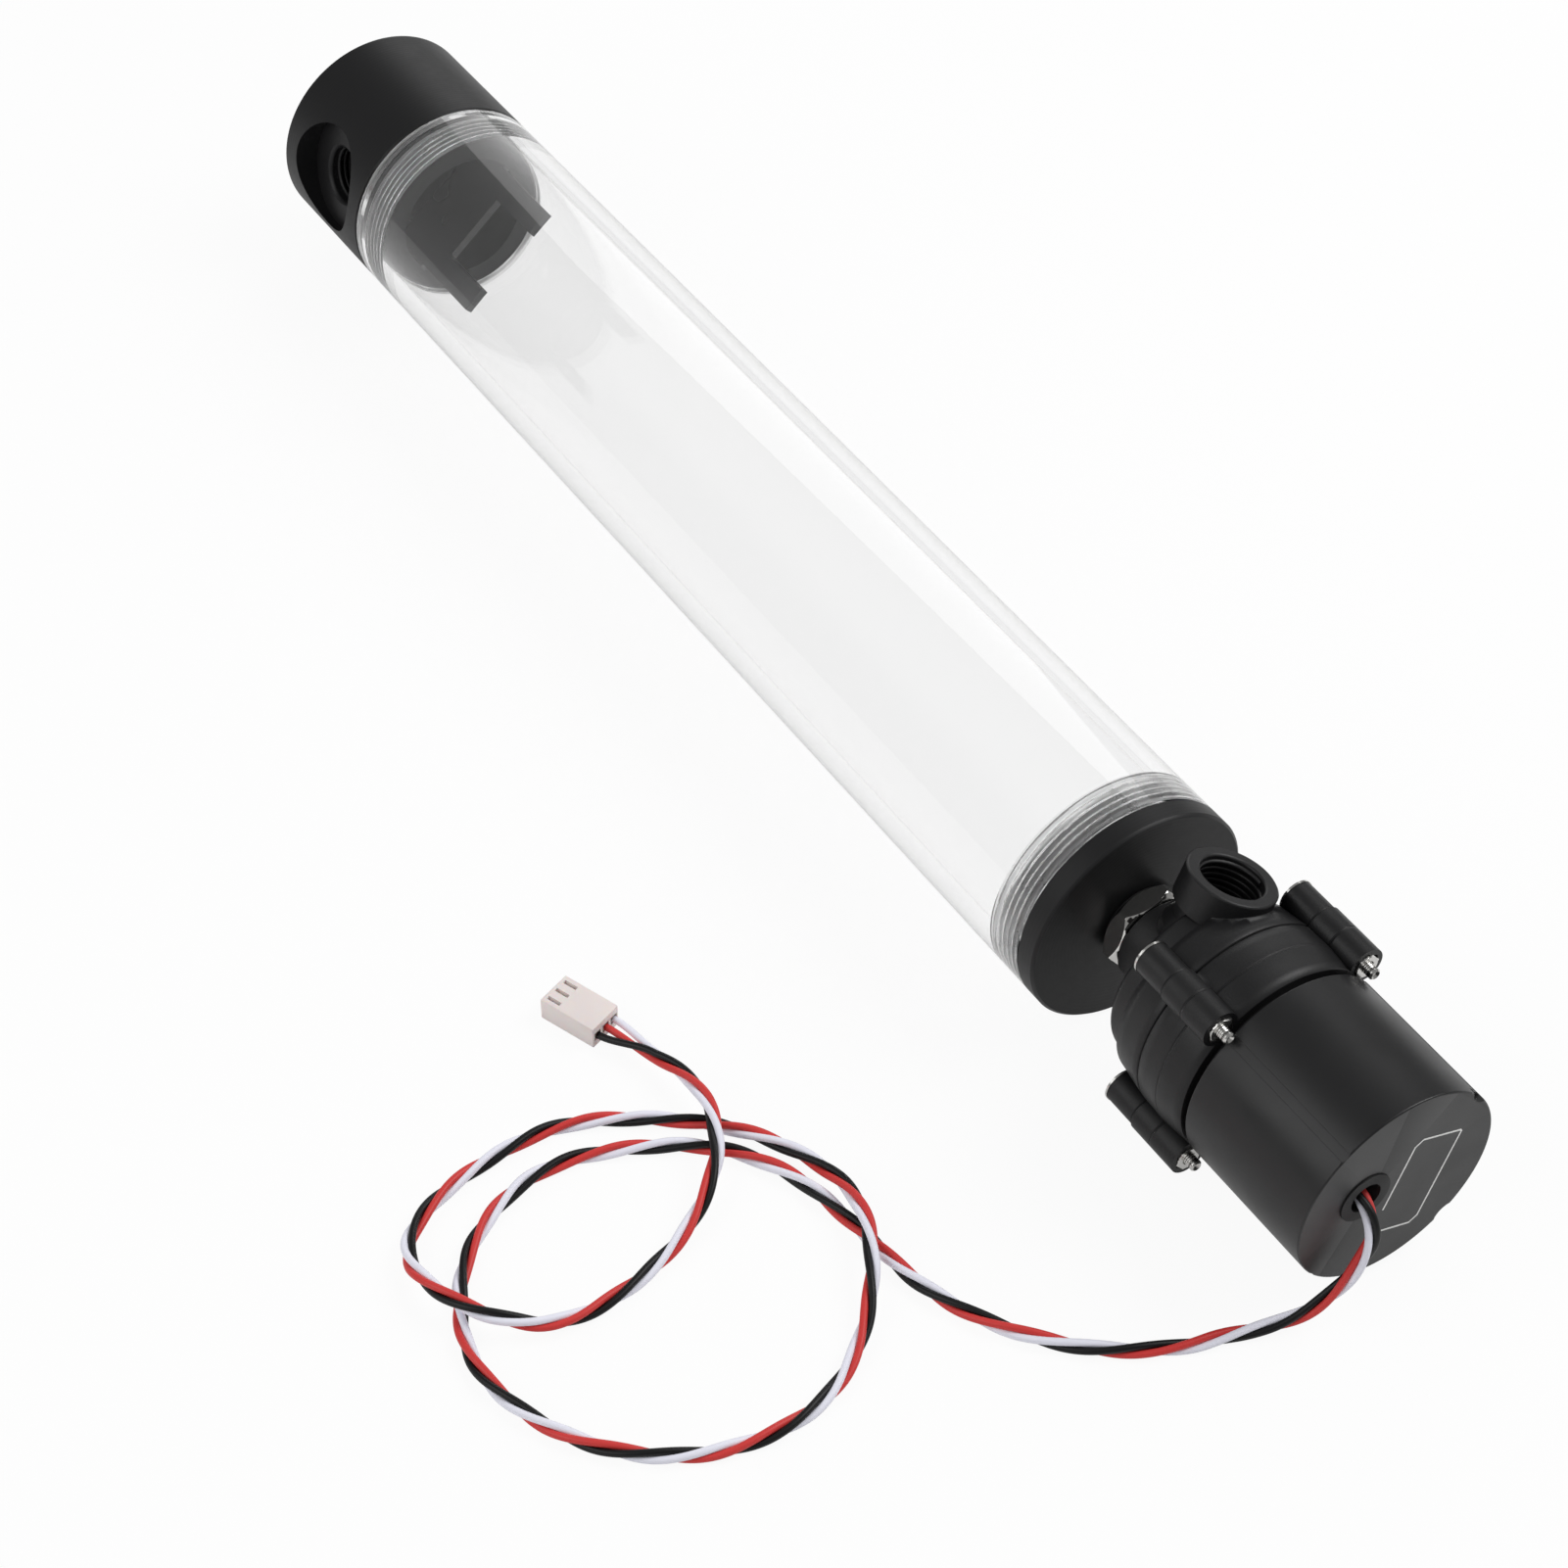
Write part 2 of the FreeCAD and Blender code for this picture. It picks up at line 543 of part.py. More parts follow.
# Bottom cap: flange and spigot the other way round, with the nipple's thread through it
bottom_stock = turned("bottom_cap_stock", (
    ("bottom_spigot + bottom_flange", "port_radius"), ("bottom_spigot + bottom_flange", "cap_radius"),
    ("bottom_spigot", "cap_radius"), *spigot_corners("bottom_spigot", "-", "bottom_spigot"),
    ("0", "cap_bore"), ("bottom_wide_depth", "cap_bore"), ("bottom_wide_depth", "port_radius")))
dress(bottom_stock, "Chamfer", "cap_edge",
      (("bottom_spigot", "cap_radius"), ("bottom_spigot + bottom_flange", "cap_radius")))
finish(bottom_stock, "bottom_cap", "face - bottom_flange - bottom_spigot")

# O-rings between the caps and the tube
finish(ring("top_ring", "seal_line", "seal_section", "0"), "top_cap_seal", "tube_start + seal_slot / 2")
finish(ring("bottom_ring", "seal_line", "seal_section", "0"), "bottom_cap_seal",
       "face - bottom_flange - seal_slot / 2")

# Fill plug with a hexagon socket, and its O-ring in a slot under the head
plug_stock = turned("fill_plug_stock", (
    ("0", "0"), ("0", "plug_head_radius"), ("plug_head_height", "plug_head_radius"),
    ("plug_head_height", "ring_outside"), ("plug_head_height - ring_slot", "ring_outside"),
    ("plug_head_height - ring_slot", "thread_radius"),
    ("plug_seat_depth + plug_thread - port_lead", "thread_radius"),
    ("plug_seat_depth + plug_thread", "thread_radius - port_lead"), ("plug_seat_depth + plug_thread", "0")))
dress(plug_stock, "Chamfer", "port_lead", (("0", "plug_head_radius"),))
finish(cut("fill_plug_cut", plug_stock, [hexagon("plug_socket_cutter", "plug_socket", "plug_socket_depth", "0")]),
       "fill_plug", "cap_start")
finish(ring("fill_ring", "ring_radius", "ring_section", "0"), "fill_plug_seal",
       "cap_start + plug_seat_depth - ring_section - seal_squeeze")

# Anti-vortex plate: a fork whose foot sits in the cap's keyways, one half drawn and mirrored
plate = doc.addObject("PartDesign::Body", "plate_stock")
half_foot = "cap_bore + plate_key"
half_plate = "plate_width / 2"
half_notch = "plate_width / 2 - prong_width"
plate_pad = plate.newObject("PartDesign::Pad", "plate_pad")
plate_pad.Profile = outline(plate, "plate_outline", (
    ("0", "0"), ("0", half_foot), ("plate_foot", half_foot), ("plate_foot", half_plate),
    ("plate_foot + prong_reach", half_plate), ("plate_foot + prong_reach", half_notch),
    ("plate_foot + notch_reach", half_notch), ("plate_foot + notch_reach", "0")))
plate_pad.Midplane = True
bind(plate_pad, Length="plate_thickness")
doc.recompute()
plate_mirror = plate.newObject("PartDesign::Mirrored", "plate_mirrored")
plate_mirror.Originals = [plate_pad]
plate_mirror.MirrorPlane = (origin_plane(plate, "XZ_Plane"), [""])
plate.Tip = plate_mirror
finish(roll_by("plate_rolled", plate, "plate_roll"), "anti_vortex_plate",
       "tube_start + spigot_length - plate_foot")

# Double nipple: hexagon with turned chamfers, a threaded shank each way, face slots for two O-rings
hex_trim = "hex_flats / 2 - hex_face_trim"
hex_crown = "hex_flats / (2 * cos(30)) - hex_corner_trim"
nipple_hexagon = common(
    "nipple_hexagon", roll_by("nipple_hexagon_rolled",
                              hexagon("nipple_prism", "hex_flats", "hex_length", "hex_front"), "hex_roll"),
    turned("nipple_hexagon_turned", (
        ("hex_front", "0"), ("hex_front", hex_trim), ("hex_front + hex_chamfer", hex_crown),
        ("hex_rear - hex_chamfer", hex_crown), ("hex_rear", hex_trim), ("hex_rear", "0"))))
nipple_shanks = turned("nipple_shanks", (
    ("0", "0"), ("0", "thread_radius - port_lead"), ("port_lead", "thread_radius"),
    ("nipple_length - port_lead", "thread_radius"), ("nipple_length", "thread_radius - port_lead"),
    ("nipple_length", "0")))
ring_height = "2 * ring_section + 2 * seal_squeeze"
pump_slot_depth = "(%s - hex_gap)" % ring_height
finish(cut("nipple_cut", fuse("nipple_blank", [nipple_hexagon, nipple_shanks]), [
    rod("nipple_bore_cutter", "nipple_bore", "nipple_length", "0"),
    pipe("tank_slot", "thread_radius", "ring_outside", ring_height + " - tank_gap", "hex_front"),
    pipe("pump_slot", "thread_radius", "ring_outside", pump_slot_depth, "hex_rear - " + pump_slot_depth)]),
       "nipple", "face - nipple_tank_shank")
finish(ring("tank_ring", "ring_radius", "ring_section", "0"), "nipple_seal_tank",
       "face + ring_section + seal_squeeze")
finish(ring("pump_ring", "ring_radius", "ring_section", "0"), "nipple_seal_pump",
       "inlet_face - ring_section - seal_squeeze")

# Pump front cover: inlet neck, drum with a rounded shoulder, drafted rim, outlet, lugs, front shaft seat
rim_at = "neck_length + drum_length"
seam_at = "neck_length + drum_length + rim_length"
chamber_at = "neck_length + cover_front_wall"
cover_stock = turned("cover_stock", (
    ("0", "port_radius"), ("0", "neck_radius"), ("neck_length", "neck_radius"),
    ("neck_length", "drum_radius"), (rim_at, "drum_radius"), (rim_at, "rim_front_radius"),
    (seam_at + " - seam_chamfer", "casing_radius"), (seam_at, "casing_radius - seam_chamfer"),
    (seam_at, "seal_step"), (seam_at + " - seal_step_depth", "seal_step"),
    (seam_at + " - seal_step_depth", "chamber_radius"), (chamber_at, "chamber_radius"),
    (chamber_at, "throat_radius"), ("port_depth", "throat_radius"), ("port_depth", "port_radius")))
dress(cover_stock, "Fillet", "drum_round", (("neck_length", "drum_radius"),))
dress(cover_stock, "Chamfer", "port_lead", (("0", "neck_radius"), ("0", "port_radius")))


def outlet_rod(name, radius, start, end):
    """A cylinder on the outlet's axis between two heights above the pump's axis."""
    return spoke(name, radius, "%s - (%s)" % (end, start), "outlet_behind_neck", "outlet_roll", start,
                 "outlet_offset")


def outlet_cone(name, first, second, length, start):
    """A cone on the outlet's axis, from a height above the pump's axis."""
    return spoke_cone(name, first, second, length, "outlet_behind_neck", "outlet_roll", start,
                      "outlet_offset")


collar_foot = "outlet_height - outlet_collar"
cover_solid = fuse("cover_solid", [
    cover_stock,
    outlet_rod("outlet_foot", "outlet_foot_radius", "outlet_root", "outlet_foot_top"),
    outlet_cone("outlet_flare", "outlet_foot_radius", "outlet_neck_radius", "outlet_foot_cone",
                "outlet_foot_top"),
    outlet_rod("outlet_neck", "outlet_neck_radius", "outlet_root", collar_foot),
    outlet_rod("outlet_collar_rod", "outlet_radius", collar_foot, "outlet_height - outlet_edge"),
    outlet_cone("outlet_mouth", "outlet_radius", "outlet_radius - outlet_edge", "outlet_edge",
                "outlet_height - outlet_edge"),
    *lug_rods("cover_lug", "lug_radius", "rim_length - lug_setback", rim_at + " + lug_setback")])
cover_shell = cut("cover_shell", cover_solid, [
    rod("inlet_cutter", "port_radius", "port_depth", "0"),
    rod("chamber_cutter", "chamber_radius", "drum_length + rim_length - cover_front_wall", chamber_at),
    rod("seal_recess_cutter", "seal_step", "seal_step_depth", seam_at + " - seal_step_depth"),
    outlet_rod("outlet_thread_cutter", "port_radius", "outlet_height - port_depth", "outlet_height"),
    outlet_cone("outlet_lead_cutter", "port_radius", "port_radius + port_lead", "port_lead",
                "outlet_height - port_lead"),
    outlet_rod("outlet_passage_cutter", "outlet_passage", "outlet_root + outlet_floor", "outlet_height"),
    *lug_rods("cover_screw_hole", "screw_hole", "rim_length", rim_at),
    *lug_rods("cover_head_recess", "screw_head_radius + head_recess_gap", "head_recess",
              rim_at + " + lug_setback")])
rib_start = "(shaft_radius + hub_radius) / 2"
shaft_rib = block("shaft_rib", "cover_front_wall", "throat_radius + port_lead - %s" % rib_start,
                  "rib_thickness", "0", rib_start, "-rib_thickness / 2")
spider = cut("shaft_spider", fuse("shaft_spider_solid", [
    rod("shaft_hub", "hub_radius", "cover_front_wall", "0"),
    *[roll_by("shaft_rib_%d" % number, shaft_rib, "rib_roll + %d" % (360 // RIBS * number))
      for number in range(RIBS)]]),
             [rod("shaft_hub_bore", "shaft_radius + shaft_fit", "cover_front_wall", "0")])
finish(fuse("cover_fused", [cover_shell, copy_of("spider_placed", spider, "neck_length")]),
       "pump_front_cover", "inlet_face")

# Casing O-ring, in the step between the cover and the pump body's spigot
finish(ring("casing_ring", "(chamber_radius + seal_step) / 2", "casing_seal_space / 2 - seal_squeeze", "0"),
       "casing_seal", "seam - seal_step_depth + casing_seal_space / 2")

# Pump body: front spigot, wall, rotor well with a shaft boss, skirt with a parting line, tail in the can
body_seam = "seal_step_depth - casing_seal_space"
body_end = body_seam + " + body_length"
well_floor = body_seam + " + well_depth"
boss_front = well_floor + " - rear_seat"
body_stock = turned("pump_body_stock", (
    ("0", "chamber_radius"), ("0", "seal_step - body_spigot_gap"),
    (body_seam, "seal_step - body_spigot_gap"), (body_seam, "casing_radius - seam_chamfer"),
    (body_seam + " + seam_chamfer", "casing_radius"), (body_seam + " + parting_place", "parting_radius"),
    (body_end, "body_rear_radius"), (body_end, "tail_radius"), (body_end + " + tail_length", "tail_radius"),
    (body_end + " + tail_length", "skirt_bore"), (body_seam + " + body_wall", "skirt_bore"),
    (body_seam + " + body_wall", "well_radius + well_wall"),
    (well_floor + " + well_end", "well_radius + well_wall"), (well_floor + " + well_end", "0"),
    (boss_front, "0"), (boss_front, "hub_radius"), (well_floor, "hub_radius"), (well_floor, "well_radius"),
    (body_seam, "well_radius"), (body_seam, "chamber_radius")))
nut_pocket = hexagon("nut_pocket", "nut_flats + 2 * nut_pocket_gap", "nut_pocket", "0")
finish(cut("pump_body_cut", fuse("pump_body_solid", [
    body_stock, *lug_cones("body_lug_seam", "lug_radius", "body_lug_radius", "lug_seam", body_seam),
    *lug_rods("body_lug", "body_lug_radius", "body_length - lug_seam", body_seam + " + lug_seam")]), [
        *lug_rods("body_screw_hole", "screw_hole", "body_length", body_seam),
        *[copy_of("nut_pocket_%d" % number, nut_pocket, body_end + " - nut_pocket", *lug_place(number))
          for number in range(LUGS)],
        rod("shaft_seat_cutter", "shaft_radius + shaft_fit", "rear_seat + shaft_hole_depth", boss_front)]),
       "pump_body", "seam - (%s)" % body_seam)

# Motor can: cup with a ledge for the board, shallow flutes behind the nuts, two of which end in a notch in
# the end rim, and a recessed cable hole
end_wall_at = "motor_length - can_end_wall"
ledge_at = "motor_length - can_end_wall - board_space"
can_stock = turned("motor_can_stock", (
    ("0", "can_bore"), ("0", "motor_radius"), ("motor_length", "motor_radius"), ("motor_length", "0"),
    (end_wall_at, "0"), (end_wall_at, "can_bore - board_ledge"), (ledge_at, "can_bore - board_ledge"),
    (ledge_at, "can_bore")))
dress(can_stock, "Fillet", "motor_edge", (("0", "motor_radius"), ("motor_length", "motor_radius")))
finish(cut("motor_can_cut", can_stock, [
    rod("cable_hole_cutter", "grommet_neck + grommet_fit", "can_end_wall", end_wall_at, "exit_y", "exit_z"),
    rod("cable_recess_cutter", "grommet_flange + grommet_fit", "flange_seat", "motor_length - flange_seat",
        "exit_y", "exit_z"),
    *lug_rods("flute_cutter", "lug_circle - motor_radius + flute_depth", "motor_length", "0"),
    *lug_rods("rim_notch_cutter", "lug_circle - motor_radius + rim_notch_depth", "rim_notch_length",
              "motor_length - rim_notch_length", NOTCHED_LUGS)]), "motor_can", "can_front")

# Grommet that holds the end wall between its two flanges
grommet_end = "grommet_flange_depth + can_end_wall - flange_seat"
grommet_length = grommet_end + " + grommet_flange_depth"
grommet = cut("grommet_cut", fuse("grommet_solid", [
    rod("grommet_inner_flange", "grommet_flange", "grommet_flange_depth", "0"),
    rod("grommet_neck_rod", "grommet_neck", grommet_length, "0"),
    rod("grommet_outer_flange", "grommet_flange", "grommet_flange_depth", grommet_end)]),
              [rod("grommet_bore_cutter", "grommet_bore", grommet_length, "0")])
finish(group("grommet_group", [copy_of("grommet_placed", grommet, "0", "exit_y", "exit_z")]),
       "cable_grommet", "can_rear - can_end_wall - grommet_flange_depth")

# Casing screws with pan heads, and their nuts
screw = turned("casing_screw", (
    ("0", "0"), ("0", "screw_head_radius - screw_crown"), ("screw_crown", "screw_head_radius"),
    ("screw_head_height", "screw_head_radius"), ("screw_head_height", "screw_radius"),
    ("screw_head_height + screw_length", "screw_radius"), ("screw_head_height + screw_length", "0")))
nut = cut("casing_nut", hexagon("nut_prism", "nut_flats", "nut_height", "0"),
          [rod("nut_thread_cutter", "screw_radius + nut_gap", "nut_height", "0")])
finish(group("screw_group", [
    copy_of("screw_%d" % number, screw, "0", *lug_place(number)) for number in range(LUGS)]),
       "casing_screws", "head_seat - screw_head_height")
finish(group("nut_group", [
    copy_of("nut_%d" % number, nut, "0", *lug_place(number)) for number in range(LUGS)]),
       "casing_nuts", "body_rear - nut_pocket")

# Ceramic shaft between the two seats, with a thrust washer at each
finish(rod("shaft_rod", "shaft_radius", "shaft_rear - shaft_front", "0"), "shaft", "shaft_front")
finish(pipe("front_washer", "shaft_radius + shaft_fit", "hub_radius", "washer_thickness", "0"),
       "front_thrust_washer", "chamber_front")
finish(pipe("rear_washer", "shaft_radius + shaft_fit", "hub_radius", "washer_thickness", "0"),
       "rear_thrust_washer", "rotor_rear + washer_gap")

# Rotor: impeller moulded with a tube that carries the bushings and the ring magnet
finish(pipe("front_bush", "shaft_radius + bush_fit", "bush_radius", "bush_length", "0"),
       "front_bushing", "rotor_front")
finish(pipe("rear_bush", "shaft_radius + bush_fit", "bush_radius", "bush_length", "0"),
       "rear_bushing", "rotor_rear - bush_length")
disc_at = "disc_rear - impeller_disc - rotor_front"
rotor_stock = turned("rotor_stock", (
    ("0", "bush_radius + rotor_bore_fit"), ("0", "rotor_tube"), (disc_at, "rotor_tube"),
    (disc_at, "impeller_radius"), ("disc_rear - rotor_front", "impeller_radius"),
    ("disc_rear - rotor_front", "rotor_tube"), ("rotor_rear - rotor_front", "rotor_tube"),
    ("rotor_rear - rotor_front", "bush_radius + rotor_bore_fit")))


def blade_angle(radius):
    """Angle about the blade's own centre at which its curve reaches a distance from the axis."""
    squares = "((%s) ^ 2 - blade_centre ^ 2 - blade_curve ^ 2)" % radius
    return "acos(%s / (2 * blade_centre * blade_curve))" % squares


def blade_sector(name, radius):
    """A sector of a cylinder about the blade's centre line."""
    obj = bind(doc.addObject("Part::Cylinder", name), Radius=radius, Height="blade_width + impeller_disc / 2",
               Angle=blade_angle("blade_start") + " - " + blade_angle("impeller_radius"))
    obj.Placement = FreeCAD.Placement(FreeCAD.Vector(), FreeCAD.Rotation(FreeCAD.Vector(1, 1, 1), 120))
    return obj


blade = cut("blade", blade_sector("blade_outside", "blade_curve + blade_thickness / 2"),
            [blade_sector("blade_inside", "blade_curve - blade_thickness / 2")])
blade_turned = roll_by("blade_turned", blade, blade_angle("impeller_radius"))
place(blade_turned, disc_at + " - blade_width", "blade_centre")
finish(fuse("impeller_fused", [rotor_stock, *[
    roll_by("blade_%d" % number, blade_turned, str(360 * number / BLADES)) for number in range(BLADES)]]),
       "impeller", "rotor_front")
finish(pipe("magnet_ring", "rotor_tube + rotor_bore_fit", "magnet_radius", "magnet_length", "0"),
       "rotor_magnet", "seam + magnet_setback")

# Stator core with its teeth round the rotor well, and one winding on each tooth
tooth = block("stator_tooth", "stator_length", "yoke_inner + stator_yoke / 2 - tooth_tip", "tooth_width",
              "0", "tooth_tip", "-tooth_width / 2")
finish(fuse("stator_fused", [
    pipe("stator_ring", "yoke_inner", "tail_radius", "stator_length", "0"),
    *[roll_by("tooth_%d" % number, tooth, str(360 * number / TEETH)) for number in range(TEETH)]]),
       "stator_core", "stator_front")
winding = cut("winding", block(
    "winding_block", "stator_length + 2 * coil_thickness", "coil_depth", "tooth_width + 2 * coil_thickness",
    "-coil_thickness", "tooth_tip + coil_start", "-(tooth_width / 2 + coil_thickness)"), [tooth])
finish(group("winding_group", [
    roll_by("winding_%d" % number, winding, str(360 * number / TEETH)) for number in range(TEETH)]),
       "stator_coils", "stator_front")

# Driver board on the can's ledge, with its chip and two capacitors towards the stator
finish(rod("board_disc", "can_bore - board_gap", "board_thickness", "0"), "driver_board",
       "board_rear - board_thickness")
finish(group("component_group", [
    block("driver_chip", "chip_height", "chip_side", "chip_side", "-chip_height", "-chip_side / 2",
          "-chip_side / 2"),
    *[rod("capacitor_%d" % number, "capacitor_radius", "capacitor_height", "-capacitor_height", "0",
          "capacitor_place * %d" % (2 * number - 1)) for number in range(2)]]),
       "board_components", "board_rear - board_thickness")

# Plug on the lead's end: housing with a cavity and a latch window for each contact
cavity_length = "plug_length - plug_back_wall"
plug_tools = []
contacts = []
for number in range(CONTACTS):
    offset = "(%d * plug_pitch)" % (number - CONTACTS // 2)
    plug_tools.append(block(
        "cavity_%d" % number, cavity_length, "plug_cavity", "plug_cavity", "-plug_length / 2",
        offset + " - plug_cavity / 2", "plug_thickness / 2 - plug_cavity / 2"))
    plug_tools.append(block(
        "window_%d" % number, "window_length", "plug_cavity", "plug_thickness / 2",
        "window_setback - plug_length / 2", offset + " - plug_cavity / 2", "plug_thickness / 2"))
    contacts.append(block(
        "contact_%d" % number, "contact_length", "contact_side", "contact_side",
        "%s - contact_length - plug_length / 2" % cavity_length,
        offset + " - contact_side / 2", "plug_thickness / 2 - plug_cavity / 2"))


def finish_plug(obj, label):
    """Name a piece of the plug, which lies flat on the floor, turned as seen from above."""
    turn_about(obj, (0, 0, 1), "plug_turn")
    place(obj, "plug_x", "plug_y")
    obj.Label = label
    parts.append(obj)


finish_plug(cut("plug_housing_cut", block(
    "plug_block", "plug_length", "plug_width", "plug_thickness", "-plug_length / 2", "-plug_width / 2"),
                plug_tools), "plug_housing")
finish_plug(group("contact_group", contacts), "crimp_contacts")


def tangent_path(points):
    """Straight runs joined by tangent arcs, each as large as its two runs allow."""
    edges = []
    last = points[0]
    for before, corner, after in zip(points, points[1:], points[2:]):
        inward = (before - corner).normalize()
        outward = (after - corner).normalize()
        trim = LEAD_SHARE * min(before.distanceToPoint(corner), after.distanceToPoint(corner))
        half_turn = (math.pi - inward.getAngle(outward)) / 2
        radius = trim / math.tan(half_turn)
        start = corner + inward * trim
        end = corner + outward * trim
        middle = corner + (inward + outward).normalize() * (radius / math.cos(half_turn) - radius)
        edges.append(Part.LineSegment(last, start).toShape())
        edges.append(Part.Arc(start, middle, end).toShape())
        print("lead turns %4.1f degrees on a radius of %5.1f mm" % (math.degrees(2 * half_turn), radius))
        last = end
    edges.append(Part.LineSegment(last, points[-1]).toShape())
    return Part.Wire(edges)


# Three-wire lead as one plain tube, from the driver board through the grommet to the plug
board_end = FreeCAD.Vector(value("board_rear"), value("exit_y"), value("axis_height + exit_z"))
plug_end = FreeCAD.Vector(value("plug_x + plug_length / 2 * cos(plug_turn)"),
                          value("plug_y + plug_length / 2 * sin(plug_turn)"), value("plug_thickness / 2"))
lead_path = tangent_path([board_end, *[FreeCAD.Vector(*point) for point in LEAD_ROUTE], plug_end])
lead_start = (FreeCAD.Vector(*LEAD_ROUTE[0]) - board_end).normalize()
lead_circle = Part.Wire([Part.makeCircle(value("cord_radius"), board_end, lead_start)])
lead = doc.addObject("Part::Feature", "lead_tube")
lead.Shape = lead_path.makePipeShell([lead_circle], True, False)
lead.Placement = FreeCAD.Placement()
lead.Label = "cord"
parts.append(lead)
section = math.pi * value("cord_radius") ** 2
print("lead is %.1f mm long, volume %.1f mm3, section times length %.1f mm3"
      % (lead_path.Length, lead.Shape.Volume, section * lead_path.Length))

doc.recompute()
for obj in doc.Objects:
    if "Invalid" in obj.State or "Error" in obj.State:
        raise RuntimeError("%s failed: %s" % (obj.Name, obj.State))
for obj in parts:
    if obj.Shape.isNull() or not obj.Shape.isValid():
        raise RuntimeError("%s has no valid shape" % obj.Label)
os.makedirs("parts", exist_ok=True)
for obj in parts:
    obj.Shape.exportStep("parts/%s.step" % obj.Label)
    print("%-22s %2d solids %9.1f mm3" % (obj.Label, len(obj.Shape.Solids), obj.Shape.Volume))
print("%d nodes" % len(parts))
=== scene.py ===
# %% [markdown]
# A coolant reservoir with its pump, lying on a white table. The tube is clear acrylic, the caps are
# turned from black acetal, and the pump is moulded in black plastic. The CAD model gives every piece
# its place and size, so the scene starts from it and gives each one the finish that the eye expects.

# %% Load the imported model
import json
import math

import bmesh
import bpy
import numpy as np
from mathutils import Matrix, Vector


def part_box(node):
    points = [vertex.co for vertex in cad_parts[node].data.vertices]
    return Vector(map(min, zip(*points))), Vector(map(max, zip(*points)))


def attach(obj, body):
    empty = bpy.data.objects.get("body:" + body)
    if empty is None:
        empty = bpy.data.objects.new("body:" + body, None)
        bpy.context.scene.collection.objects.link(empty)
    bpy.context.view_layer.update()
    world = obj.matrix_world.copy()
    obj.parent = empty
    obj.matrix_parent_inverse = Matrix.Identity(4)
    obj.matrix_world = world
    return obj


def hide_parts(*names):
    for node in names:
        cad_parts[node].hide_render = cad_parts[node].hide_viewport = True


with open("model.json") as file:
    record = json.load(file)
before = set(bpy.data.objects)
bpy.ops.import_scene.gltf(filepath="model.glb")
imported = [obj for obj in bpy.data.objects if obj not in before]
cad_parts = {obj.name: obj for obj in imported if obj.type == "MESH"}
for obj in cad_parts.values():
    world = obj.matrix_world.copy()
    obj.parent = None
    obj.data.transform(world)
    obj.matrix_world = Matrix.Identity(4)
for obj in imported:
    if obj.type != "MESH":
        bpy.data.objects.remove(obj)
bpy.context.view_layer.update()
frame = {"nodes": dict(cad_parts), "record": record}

MM = 0.001
print("nodes:", len(frame["nodes"]))

# %% [markdown]
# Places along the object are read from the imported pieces, so that nothing has to be typed twice. The
# axis of the tube runs along X at the height of the tube's radius.

# %% Places read from the CAD pieces
tube_low, tube_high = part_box("tube")
AXIS_Z = (tube_low.z + tube_high.z) / 2
TUBE_R = (tube_high.z - tube_low.z) / 2
CAN_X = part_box("motor_can")[1].x
print("tube from %.1f to %.1f mm" % (tube_low.x / MM, tube_high.x / MM))

# %% [markdown]
# Everything that is made here is added to the scene by one helper.

# %% Helper for objects
def new_object(name, data):
    """An object with the given data, added to the scene."""
    obj = bpy.data.objects.new(name, data)
    bpy.context.scene.collection.objects.link(obj)
    return obj


# %% [markdown]
# The camera stands where the photographer stood: its place and turn were worked out from the ellipses
# of the caps and the tube's edges. A long lens keeps the far end of the tube from shrinking.

# %% Camera
CAMERA_PLACE = Vector((469.1, -311.1, 544.5)) * MM
CAMERA_RIGHT = Vector((0.5438, 0.8392, 0.0))
CAMERA_AHEAD = Vector((-0.5835, 0.3781, -0.7187))
LENS = 82.9

camera = new_object("camera", bpy.data.cameras.new("camera"))
camera.data.lens = LENS
camera.data.sensor_width = 36
camera.data.clip_start = 0.01
ahead = CAMERA_AHEAD.normalized()
right = (CAMERA_RIGHT - CAMERA_RIGHT.dot(ahead) * ahead).normalized()
above = right.cross(ahead)
turn = Matrix((right, above, -ahead)).transposed()
camera.matrix_world = Matrix.Translation(CAMERA_PLACE) @ turn.to_4x4()
bpy.context.scene.camera = camera
bpy.context.scene.view_settings.view_transform = "Standard"

# %% [markdown]
# Materials are node trees. One helper adds a node and fills its settings and links, and another turns
# an sRGB colour, as a colour picker gives it, into the linear values that the shader works with.

# %% Helpers for materials
def linear(code):
    """An sRGB hex colour as linear RGBA."""
    shares = [int(code[i:i + 2], 16) / 255 for i in (0, 2, 4)]
    return (*[s / 12.92 if s <= 0.04045 else ((s + 0.055) / 1.055) ** 2.4 for s in shares], 1.0)


def add(tree, kind, inputs=None, **settings):
    """Add a node. Each input is a value, or what feeds it: an output, or a node for its first output."""
    made = tree.nodes.new(kind)
    for name, value in settings.items():
        setattr(made, name, value)
    for socket, value in (inputs or {}).items():
        if isinstance(value, bpy.types.Node):
            value = value.outputs[0]
        if isinstance(value, bpy.types.NodeSocket):
            tree.links.new(value, made.inputs[socket])
        else:
            made.inputs[socket].default_value = value
    return made


def new_material(name, colour, roughness, **shader):
    """A material with its shader's constants set on the shader's own sockets."""
    material = bpy.data.materials.new(name)
    material.use_nodes = True
    bsdf = material.node_tree.nodes["Principled BSDF"]
    bsdf.inputs["Base Color"].default_value = linear(colour)
    bsdf.inputs["Roughness"].default_value = roughness
    for socket, value in shader.items():
        bsdf.inputs[socket.replace("_", " ")].default_value = value
    return material, material.node_tree, bsdf


